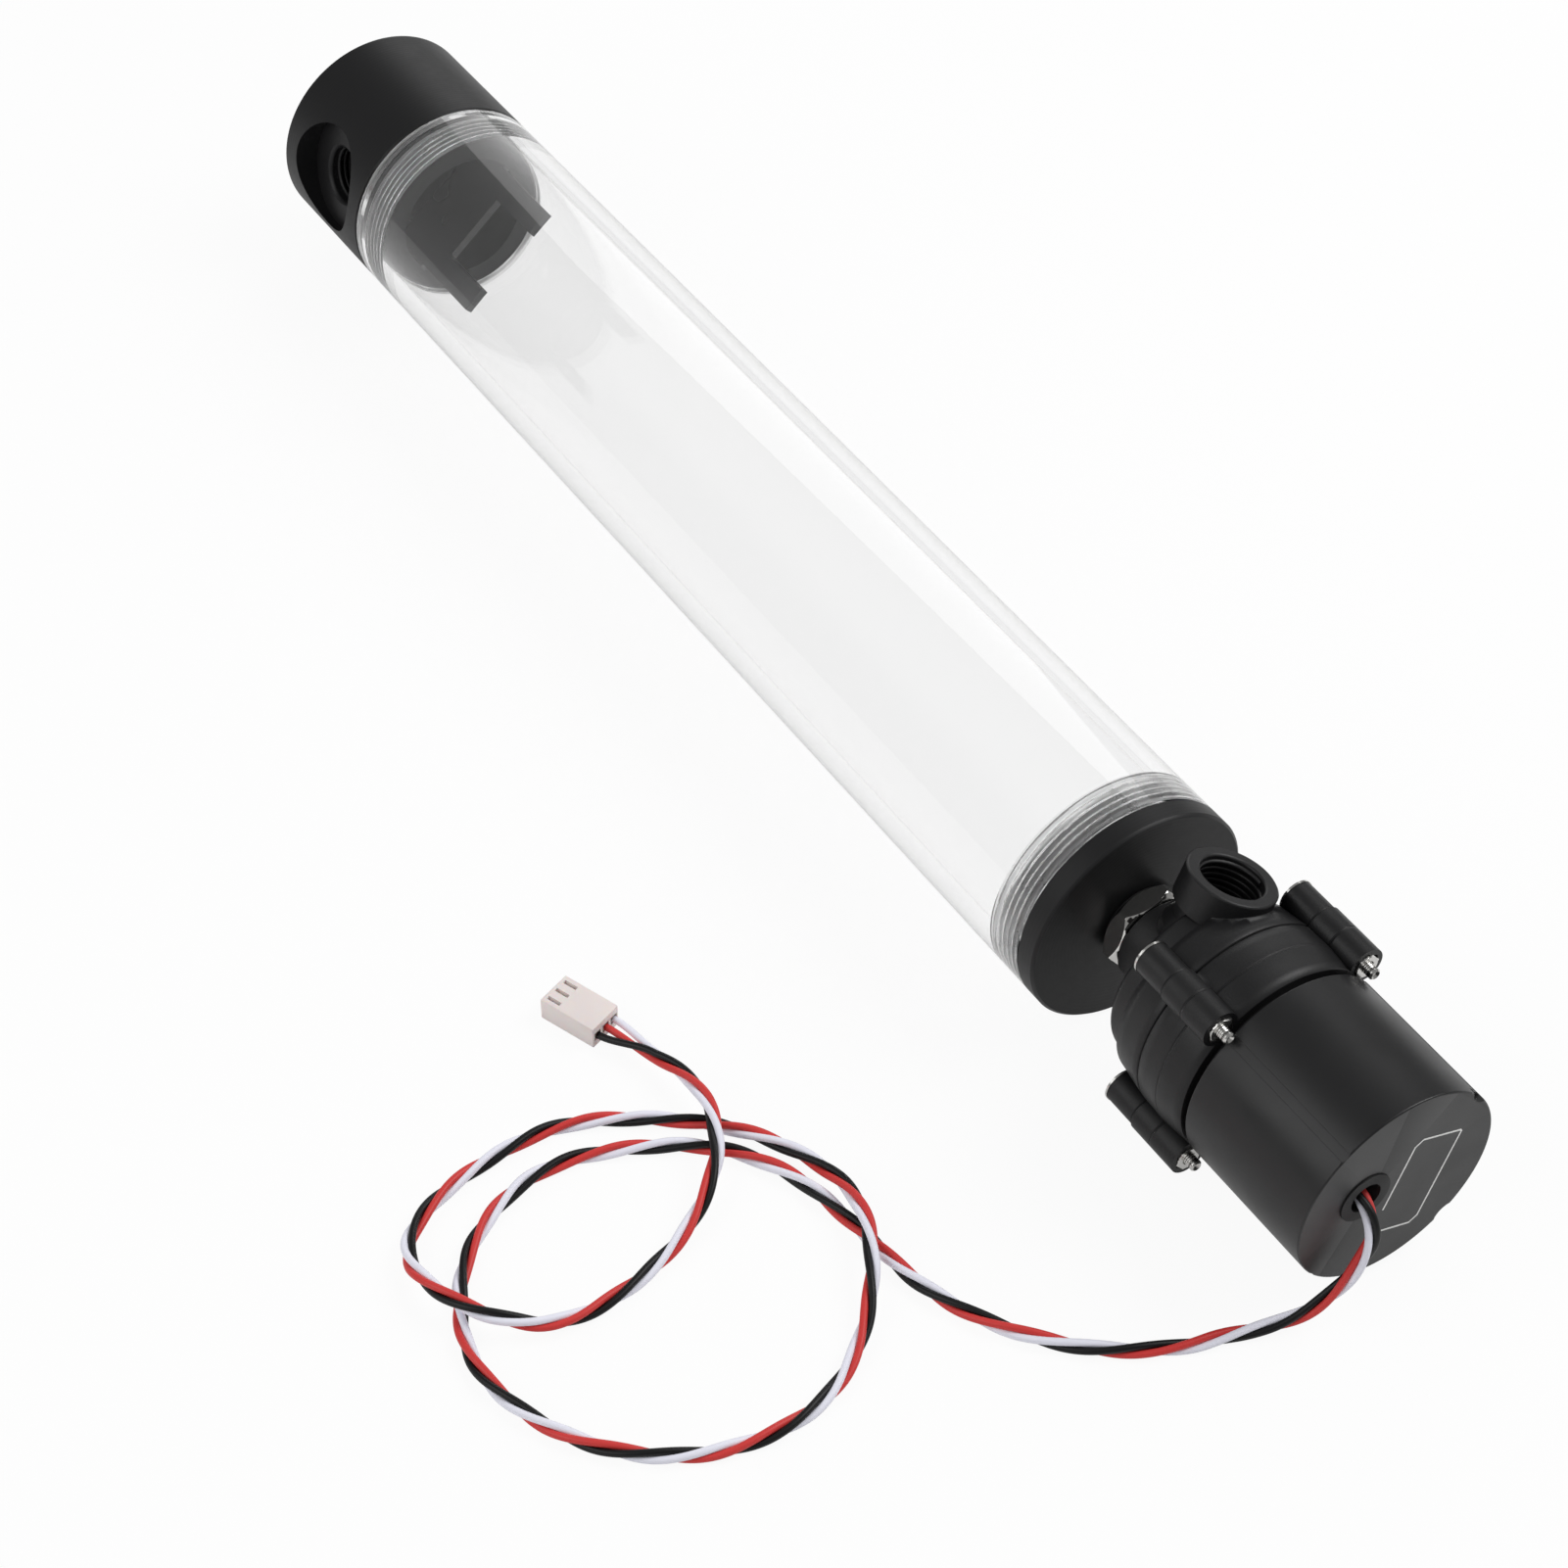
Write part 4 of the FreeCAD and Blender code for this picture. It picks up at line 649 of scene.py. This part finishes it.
# %% [markdown]
# The pieces below are built point by point. Each ends as a mesh that is smooth but for its real edges.

# %% Helper for smooth pieces
def smooth_mesh(bm, name, sharp, *materials):
    """A mesh with its faces turned outwards, smooth but for edges over so many degrees."""
    bmesh.ops.recalc_face_normals(bm, faces=bm.faces)
    for face in bm.faces:
        face.smooth = True
    mesh = bpy.data.meshes.new(name)
    bm.to_mesh(mesh)
    bm.free()
    mesh.set_sharp_from_angle(angle=math.radians(sharp))
    for material in materials:
        mesh.materials.append(material)
    return mesh


# %% [markdown]
# The tube is threaded inside at both ends, and the thread is what shows there: light runs round each
# groove and leaves a silvery ring. The tube is built as rings of points along the axis. On the inner
# wall the radius follows a helical groove, which starts and ends gently as a cutter leaves it.

# %% Depth of the thread groove
WALL = 4 * MM
BORE_R = TUBE_R - WALL
THREAD_DEPTH = 0.8 * MM
THREAD_START = 2.2 * MM
THREAD_END = 10.2 * MM
RISE = 0.6 * MM
FADE = 1.2 * MM
# Over 1, so that a narrow land is left between two turns
FLANK = 1.15


def groove_depth(x, angle):
    """How deep the thread is cut into the tube's wall at a place."""
    from_end = min(x - tube_low.x, tube_high.x - x)
    share = min((from_end - THREAD_START) / RISE, (THREAD_END - from_end) / FADE)
    share = max(0.0, min(1.0, share))
    phase = (x / SPIGOT_PITCH - angle / (2 * math.pi)) % 1.0
    return THREAD_DEPTH * share * max(0.0, 1 - abs(2 * phase - 1) * FLANK)


# %% [markdown]
# Points lie close together along the thread, nine to each turn of it, and far apart on the plain wall.

# %% Outline of the tube's wall
TUBE_CHAMFER = 0.25 * MM
TUBE_PARTS = 8
STEPS_A_PITCH = 9
RUN_IN = 0.4 * MM

thread_run = THREAD_END - THREAD_START + 3 * RUN_IN
thread_xs = [THREAD_START - RUN_IN + SPIGOT_PITCH / STEPS_A_PITCH * i
             for i in range(int(thread_run / SPIGOT_PITCH * STEPS_A_PITCH))]
plain_xs = [tube_low.x + (tube_high.x - tube_low.x) * k / TUBE_PARTS for k in range(1, TUBE_PARTS)]
inner_xs = [tube_low.x + TUBE_CHAMFER, *[tube_low.x + x for x in thread_xs], *plain_xs,
            *[tube_high.x - x for x in reversed(thread_xs)], tube_high.x - TUBE_CHAMFER]
outer = [(tube_low.x, TUBE_R - TUBE_CHAMFER), (tube_low.x + TUBE_CHAMFER, TUBE_R),
         *[(x, TUBE_R) for x in plain_xs],
         (tube_high.x - TUBE_CHAMFER, TUBE_R), (tube_high.x, TUBE_R - TUBE_CHAMFER)]
print("points along the wall:", len(outer), "outside,", len(inner_xs), "inside")

# %% Tube with a thread cut in each end
TUBE_SIDES = 144

tube_rings = []
bm = bmesh.new()
for x, r in outer:
    tube_rings.append([bm.verts.new((x, r * math.cos(a), AXIS_Z + r * math.sin(a)))
                       for a in (2 * math.pi * k / TUBE_SIDES for k in range(TUBE_SIDES))])
for x in reversed(inner_xs):
    ring = []
    for k in range(TUBE_SIDES):
        a = 2 * math.pi * k / TUBE_SIDES
        r = BORE_R + groove_depth(x, a)
        ring.append(bm.verts.new((x, r * math.cos(a), AXIS_Z + r * math.sin(a))))
    tube_rings.append(ring)
for number, (low, high) in enumerate(zip(tube_rings, tube_rings[1:] + tube_rings[:1])):
    x = (low[0].co.x + high[0].co.x) / 2
    from_end = min(x - tube_low.x, tube_high.x - x)
    cut_here = number >= len(outer) and THREAD_START - RUN_IN < from_end < THREAD_END
    for k in range(TUBE_SIDES):
        face = bm.faces.new((low[k], high[k], high[(k + 1) % TUBE_SIDES], low[(k + 1) % TUBE_SIDES]))
        face.material_index = int(cut_here)
tube_mesh = smooth_mesh(bm, "clear_tube", 40, acrylic, cut_acrylic)
clear_tube = new_object("clear_tube", tube_mesh)
place_piece(clear_tube, "reservoir", "clear_acrylic", "tube")
print("tube:", len(tube_mesh.polygons), "faces")

# %% [markdown]
# Pipe threads line the side port and the pump's outlet. A thread is one ridge that follows a helix, so
# Geometry Nodes suit it: a spiral curve, swept with a small triangle as its profile. The tree's inputs
# are the thread's sizes, and each port is one run of it.

# %% Geometry Nodes tree for an inside thread
PORT_R = 6.58 * MM
PORT_PITCH = 1.337 * MM
RIDGE = 0.72 * MM


def input_ids(tree):
    """The identifiers of a tree's inputs by name."""
    return {item.name: item.identifier for item in tree.interface.items_tree
            if item.item_type == "SOCKET" and item.in_out == "INPUT"}


thread_tree = bpy.data.node_groups.new("inside_thread", "GeometryNodeTree")
for name, kind, value in (("Radius", "NodeSocketFloat", PORT_R), ("Pitch", "NodeSocketFloat", PORT_PITCH),
                          ("Turns", "NodeSocketFloat", 5.0), ("Ridge", "NodeSocketFloat", RIDGE),
                          ("Material", "NodeSocketMaterial", None)):
    socket = thread_tree.interface.new_socket(name, in_out="INPUT", socket_type=kind)
    if value is not None:
        socket.default_value = value
thread_tree.interface.new_socket("Geometry", in_out="OUTPUT", socket_type="NodeSocketGeometry")
given = add(thread_tree, "NodeGroupInput").outputs
rise = add(thread_tree, "ShaderNodeMath", {0: given["Pitch"], 1: given["Turns"]}, operation="MULTIPLY")
spiral = add(thread_tree, "GeometryNodeCurveSpiral", {
    "Resolution": 40, "Rotations": given["Turns"], "Start Radius": given["Radius"],
    "End Radius": given["Radius"], "Height": rise.outputs[0]})
profile = add(thread_tree, "GeometryNodeCurvePrimitiveCircle", {"Resolution": 3, "Radius": given["Ridge"]})
swept = add(thread_tree, "GeometryNodeCurveToMesh", {
    "Curve": spiral.outputs["Curve"], "Profile Curve": profile.outputs["Curve"], "Fill Caps": True})
real = add(thread_tree, "GeometryNodeRealizeInstances", {"Geometry": swept.outputs["Mesh"]})
shown = add(thread_tree, "GeometryNodeSetMaterial", {
    "Geometry": real.outputs["Geometry"], "Material": given["Material"]})
add(thread_tree, "NodeGroupOutput", {"Geometry": shown.outputs["Geometry"]})


def made_by(tree, name, place=Matrix.Identity(4), **values):
    """Run a tree, and keep its result as a plain mesh in its place."""
    obj = new_object(name, bpy.data.meshes.new(name + "_seed"))
    modifier = obj.modifiers.new(name, "NODES")
    modifier.node_group = tree
    ids = input_ids(tree)
    for socket, value in values.items():
        modifier[ids[socket]] = value
    bpy.context.view_layer.update()
    mesh = bpy.data.meshes.new_from_object(obj.evaluated_get(bpy.context.evaluated_depsgraph_get()))
    obj.modifiers.clear()
    obj.data = mesh
    mesh.transform(place)
    mesh.name = name
    return obj


# %% [markdown]
# Each thread starts deep in its port, at a distance from the port's middle, and ends just under its mouth.

# %% Threads in the two ports
def port_place(mount, start):
    """A frame whose Z runs out of a threaded port, from a distance along it from its middle."""
    out = Vector(mount["axis"]).normalized()
    place = Vector(mount["pos_m"]) + start * out
    axes = Matrix((Vector((1, 0, 0)), out.cross(Vector((1, 0, 0))), out)).transposed()
    return Matrix.Translation(place) @ axes.to_4x4()


for name, port, start, material, body, slot in (
        ("side_port_thread", "side_port", -2.4 * MM, acetal, "cap", "black_acetal"),
        ("outlet_thread", "outlet_port", -2.7 * MM, moulded, "reservoir", "pump_plastic")):
    ridge = made_by(thread_tree, name, port_place(mounts[port], start), Turns=4.8, Material=material)
    place_piece(ridge, body, slot)
    print(name, len(ridge.data.polygons), "faces")

# %% [markdown]
# The casing screws have low domed heads. A wide rim stands just in front of each lug of the front cover and
# shows as a bright crescent, and the screws' ends stand out of the nuts on the motor's side. One screw is a
# turned outline with its thread, from the front of its head to its hollow end.

# %% Helper for turned pieces
def turned_mesh(name, outline, material, sides=28):
    """A closed turned piece about X from an outline of (x, radius)."""
    bm = bmesh.new()
    rings = []
    for x, r in outline:
        if r == 0:
            rings.append([bm.verts.new((x, 0, 0))])
            continue
        rings.append([bm.verts.new((x, r * math.cos(2 * math.pi * k / sides),
                                    r * math.sin(2 * math.pi * k / sides))) for k in range(sides)])
    for low, high in zip(rings, rings[1:]):
        for k in range(sides):
            j = (k + 1) % sides
            corners = [low[k % len(low)], high[k % len(high)], high[j % len(high)], low[j % len(low)]]
            bm.faces.new(list(dict.fromkeys(corners)))
    return smooth_mesh(bm, name, 30, material)


# %% Casing screw
SCREW_PITCH = 0.45 * MM
HEAD_R = 2.45 * MM
RIM_R = 3.75 * MM
HEAD_H = 2.1 * MM
SHANK_R = 1.25 * MM
ROOT_R = SHANK_R * 0.93
END_CHAMFER = 0.35 * MM
END_HOLLOW = 0.5 * MM
PLAIN_LENGTH = 0.5 * MM

screw_low, screw_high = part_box("casing_screws")
screw_length = screw_high.x - screw_low.x
outline = [(0, 0), (0.03 * MM, 1.9 * MM), (0.1 * MM, 2.8 * MM), (0.18 * MM, 3.4 * MM), (0.3 * MM, RIM_R),
           (0.76 * MM, RIM_R), (0.78 * MM, HEAD_R), (HEAD_H, HEAD_R), (HEAD_H, SHANK_R * 0.97)]
threads = int((screw_length - HEAD_H - 2 * PLAIN_LENGTH) / SCREW_PITCH)
for k in range(threads):
    start = HEAD_H + PLAIN_LENGTH + SCREW_PITCH * k
    outline.append((start, ROOT_R))
    outline.append((start + SCREW_PITCH / 2, SHANK_R))
outline += [(screw_length - END_CHAMFER, SHANK_R), (screw_length, SHANK_R * 0.75),
            (screw_length - END_HOLLOW, SHANK_R * 0.3), (screw_length - END_HOLLOW, 0)]
screw_seed = new_object("domed_screw", turned_mesh("domed_screw", outline, zinc))
print("screw:", threads, "turns of thread")

# %% [markdown]
# A hexagon nut is a tube whose outside is a hexagon, with a chamfer turned on each end. Its rings of points
# are round or hexagonal: where a ring's radius isn't given, it follows the hexagon.

# %% Hexagon nut
NUT_BORE_R = 1.2 * MM
NUT_HALF_FLATS = 2.5 * MM
NUT_FACE_R = 2.45 * MM
NUT_CHAMFER = 0.15 * MM
NUT_COUNTERSINK_R = 1.5 * MM
NUT_SIDES = 36

nut_low, nut_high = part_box("casing_nuts")
nut_height = nut_high.x - nut_low.x
bm = bmesh.new()
rings = []
for x, given_r in ((0, NUT_BORE_R), (0, NUT_FACE_R), (NUT_CHAMFER, None), (nut_height - NUT_CHAMFER, None),
                   (nut_height, NUT_FACE_R), (nut_height, NUT_COUNTERSINK_R),
                   (nut_height - 2 * NUT_CHAMFER, NUT_BORE_R)):
    ring = []
    for k in range(NUT_SIDES):
        a = 2 * math.pi * k / NUT_SIDES
        hexagonal = NUT_HALF_FLATS / math.cos((a + math.pi / 6) % (math.pi / 3) - math.pi / 6)
        r = given_r or hexagonal
        ring.append(bm.verts.new((x, r * math.cos(a), r * math.sin(a))))
    rings.append(ring)
for low, high in zip(rings, rings[1:] + rings[:1]):
    for k in range(NUT_SIDES):
        j = (k + 1) % NUT_SIDES
        bm.faces.new((low[k], high[k], high[j], low[j]))
nut_seed = new_object("hexagon_nut", smooth_mesh(bm, "hexagon_nut", 25, zinc))
print("nut:", len(nut_seed.data.polygons), "faces")

# %% [markdown]
# Four lugs stand round the casing, each with a screw and a nut. A Geometry Nodes tree sets a copy of one
# piece at each lug, turned with it, and it runs once for the screws and once for the nuts.

# %% Geometry Nodes tree for copies at the lugs
lug_tree = bpy.data.node_groups.new("copies_at_lugs", "GeometryNodeTree")
for name, kind, value in (("Piece", "NodeSocketObject", None), ("Count", "NodeSocketInt", LUGS),
                          ("Circle", "NodeSocketFloat", LUG_CIRCLE), ("First", "NodeSocketFloat", LUG_ROLL),
                          ("Material", "NodeSocketMaterial", None)):
    socket = lug_tree.interface.new_socket(name, in_out="INPUT", socket_type=kind)
    if value is not None:
        socket.default_value = value
lug_tree.interface.new_socket("Geometry", in_out="OUTPUT", socket_type="NodeSocketGeometry")
given = add(lug_tree, "NodeGroupInput").outputs
points = add(lug_tree, "GeometryNodePoints", {"Count": given["Count"]})
number = add(lug_tree, "GeometryNodeInputIndex").outputs[0]
step = add(lug_tree, "ShaderNodeMath", {0: 2 * math.pi, 1: given["Count"]}, operation="DIVIDE")
turned = add(lug_tree, "ShaderNodeMath", {0: number, 1: step}, operation="MULTIPLY")
angle = add(lug_tree, "ShaderNodeMath", {0: turned, 1: given["First"]}, operation="ADD")
cosine = add(lug_tree, "ShaderNodeMath", {0: angle}, operation="COSINE")
sine = add(lug_tree, "ShaderNodeMath", {0: angle}, operation="SINE")
y = add(lug_tree, "ShaderNodeMath", {0: cosine, 1: given["Circle"]}, operation="MULTIPLY")
z = add(lug_tree, "ShaderNodeMath", {0: sine, 1: given["Circle"]}, operation="MULTIPLY")
spot = add(lug_tree, "ShaderNodeCombineXYZ", {"Y": y, "Z": z})
moved = add(lug_tree, "GeometryNodeSetPosition", {
    "Geometry": points.outputs[0], "Position": spot.outputs[0]})
piece = add(lug_tree, "GeometryNodeObjectInfo", {"Object": given["Piece"]})
turned_by = add(lug_tree, "ShaderNodeCombineXYZ", {"X": angle})
copies = add(lug_tree, "GeometryNodeInstanceOnPoints", {
    "Points": moved.outputs["Geometry"], "Instance": piece.outputs["Geometry"],
    "Rotation": turned_by.outputs[0]})
real = add(lug_tree, "GeometryNodeRealizeInstances", {"Geometry": copies.outputs["Instances"]})
shown = add(lug_tree, "GeometryNodeSetMaterial", {
    "Geometry": real.outputs["Geometry"], "Material": given["Material"]})
add(lug_tree, "NodeGroupOutput", {"Geometry": shown.outputs["Geometry"]})
print("nodes in the tree:", len(lug_tree.nodes))

# %% Screws and nuts at the lugs
for name, seed, x, replaced in (("casing_screws_shown", screw_seed, screw_low.x, "casing_screws"),
                                ("casing_nuts_shown", nut_seed, nut_low.x, "casing_nuts")):
    made = made_by(lug_tree, name, Matrix.Translation((x, 0, AXIS_Z)), Piece=seed, Material=zinc)
    place_piece(made, "reservoir", "steel_screw", replaced)
    bpy.data.objects.remove(seed)
    print(name, len(made.data.polygons), "faces")

# %% [markdown]
# A laser has drawn a thin frame on the end of the motor can: a rectangle with its corners cut, and open
# at the corner beside the cable hole. It is left empty. The line is a flat strip just proud of the face.

# %% Laser-drawn frame on the can's end
laser, tree, bsdf = new_material("laser_marked_plastic", "F0F0EE", 0.6)
speckle(tree, bsdf, 0.2 * MM, 0.01 * MM, 0.5, 0.7)
FRAME_CENTRE = Vector((5.1, -2.2)) * MM
FRAME_ROLL = math.radians(70)
LINE_WIDTH = 0.42 * MM
LINE_DEPTH = 0.02 * MM
# Corners of the line in millimetres, along the frame's length and across it
FRAME_LINE = ((-5.6, 5.75), (9.9, 5.75), (11.5, 4.4), (11.5, -5.3), (11.1, -5.75), (-9.9, -5.75),
              (-11.5, -4.4), (-11.5, 3.5))

corners = [Vector(corner) * MM for corner in FRAME_LINE]
bm = bmesh.new()
sections = []
for before, corner, after in zip(corners[:1] + corners, corners, corners[1:] + corners[-1:]):
    ahead = ((corner - before).normalized() + (after - corner).normalized()).normalized()
    straight = (after - corner).normalized() if corner != corners[-1] else ahead
    half_width = LINE_WIDTH / 2 / max(0.5, ahead.dot(straight))
    section = []
    for side, depth in ((1, 0), (1, LINE_DEPTH), (-1, LINE_DEPTH), (-1, 0)):
        point = corner + side * half_width * Vector((-ahead.y, ahead.x))
        point = Matrix.Rotation(FRAME_ROLL, 2) @ point + FRAME_CENTRE
        section.append(bm.verts.new((CAN_X + depth, point.x, AXIS_Z + point.y)))
    sections.append(section)
for low, high in zip(sections, sections[1:]):
    for k in range(4):
        bm.faces.new((low[k], low[(k + 1) % 4], high[(k + 1) % 4], high[k]))
bm.faces.new(sections[0])
bm.faces.new(sections[-1])
bmesh.ops.recalc_face_normals(bm, faces=bm.faces)
frame_mesh = bpy.data.meshes.new("laser_frame")
bm.to_mesh(frame_mesh)
bm.free()
frame_mesh.materials.append(laser)
laser_frame = new_object("laser_frame", frame_mesh)
place_piece(laser_frame, "reservoir", "can_plastic")
print("laser frame:", len(frame_mesh.polygons), "faces")

# %% [markdown]
# The table is white, and the photograph shows no edge to it. The floor keeps a faint shadow, because
# part of its white is its own colour under the lamps and the rest is added for the camera. The clear
# tube sees the same white, and mirrors see less of it, so that the black pieces stay black.

# %% Table
TABLE_HALF = 3.0
MIRRORED = 0.4
GLOW_SHARE = 0.93

table_mesh = bpy.data.meshes.new("table")
corners = [(x * TABLE_HALF, y * TABLE_HALF, 0) for x, y in ((-1, -1), (1, -1), (1, 1), (-1, 1))]
table_mesh.from_pydata(corners, [], [(0, 1, 2, 3)])
table = new_object("table", table_mesh)
white, tree, bsdf = new_material("white_table", "F2F2F2", 0.8)
light_path = add(tree, "ShaderNodeLightPath").outputs
mirrored = add(tree, "ShaderNodeMath", {0: light_path["Is Glossy Ray"], 1: MIRRORED}, operation="MULTIPLY")
direct = add(tree, "ShaderNodeMath", {0: light_path["Is Camera Ray"], 1: light_path["Is Transmission Ray"]},
             operation="MAXIMUM")
seen = add(tree, "ShaderNodeMath", {0: direct, 1: mirrored}, operation="MAXIMUM")
share = add(tree, "ShaderNodeMath", {0: seen, 1: GLOW_SHARE}, operation="MULTIPLY")
glow = add(tree, "ShaderNodeEmission", {"Color": (1, 1, 1, 1), "Strength": 1.0})
mixed = add(tree, "ShaderNodeMixShader", {"Fac": share, 1: bsdf, 2: glow})
tree.links.new(mixed.outputs[0], tree.nodes["Material Output"].inputs["Surface"])
table_mesh.materials.append(white)
print("table:", 2 * TABLE_HALF, "m wide")

# %% [markdown]
# The sky lights the object weakly, and the camera and the clear tube see it as plain white.

# %% Sky
WORLD_STRENGTH = 0.27

world = bpy.data.worlds.new("studio")
world.use_nodes = True
bpy.context.scene.world = world
tree = world.node_tree
light_path = add(tree, "ShaderNodeLightPath").outputs
seen = add(tree, "ShaderNodeMath", {0: light_path["Is Camera Ray"], 1: light_path["Is Transmission Ray"]},
           operation="MAXIMUM")
lit = add(tree, "ShaderNodeBackground", {"Color": (1, 1, 1, 1), "Strength": WORLD_STRENGTH})
clear = add(tree, "ShaderNodeBackground", {"Color": (1, 1, 1, 1), "Strength": 1.0})
mixed = add(tree, "ShaderNodeMixShader", {"Fac": seen, 1: lit, 2: clear})
tree.links.new(mixed.outputs[0], tree.nodes["World Output"].inputs["Surface"])
print("sky nodes:", len(tree.nodes))

# %% [markdown]
# Two soft boxes light the object from above, one from behind its right side and a larger, weaker one
# from the left. Both stay clear of the directions that the tube's side would mirror into the camera. A
# weak one beyond the top cap puts the soft highlight on its shoulder. The lamps themselves don't show
# through the tube, so what is inside it is lit evenly by the white all round.

# %% Lamps
def softbox(name, place, target, size, power):
    """A square area lamp that looks at a point."""
    data = bpy.data.lights.new(name, "AREA")
    data.shape = "SQUARE"
    data.size = size
    data.energy = power
    lamp = new_object(name, data)
    lamp.location = place
    lamp.rotation_euler = (Vector(target) - Vector(place)).to_track_quat("-Z", "Y").to_euler()
    lamp.visible_transmission = False


MIDDLE = (0.05, -0.02, 0.02)
softbox("key", (0.35, 0.75, 0.95), MIDDLE, 0.7, 9)
softbox("left", (-0.05, -1.0, 0.8), MIDDLE, 1.0, 6)
softbox("far", (-0.66, 0.56, 0.47), (-0.17, 0, 0.03), 0.6, 1.5)
print("lamps:", len(bpy.data.lights))
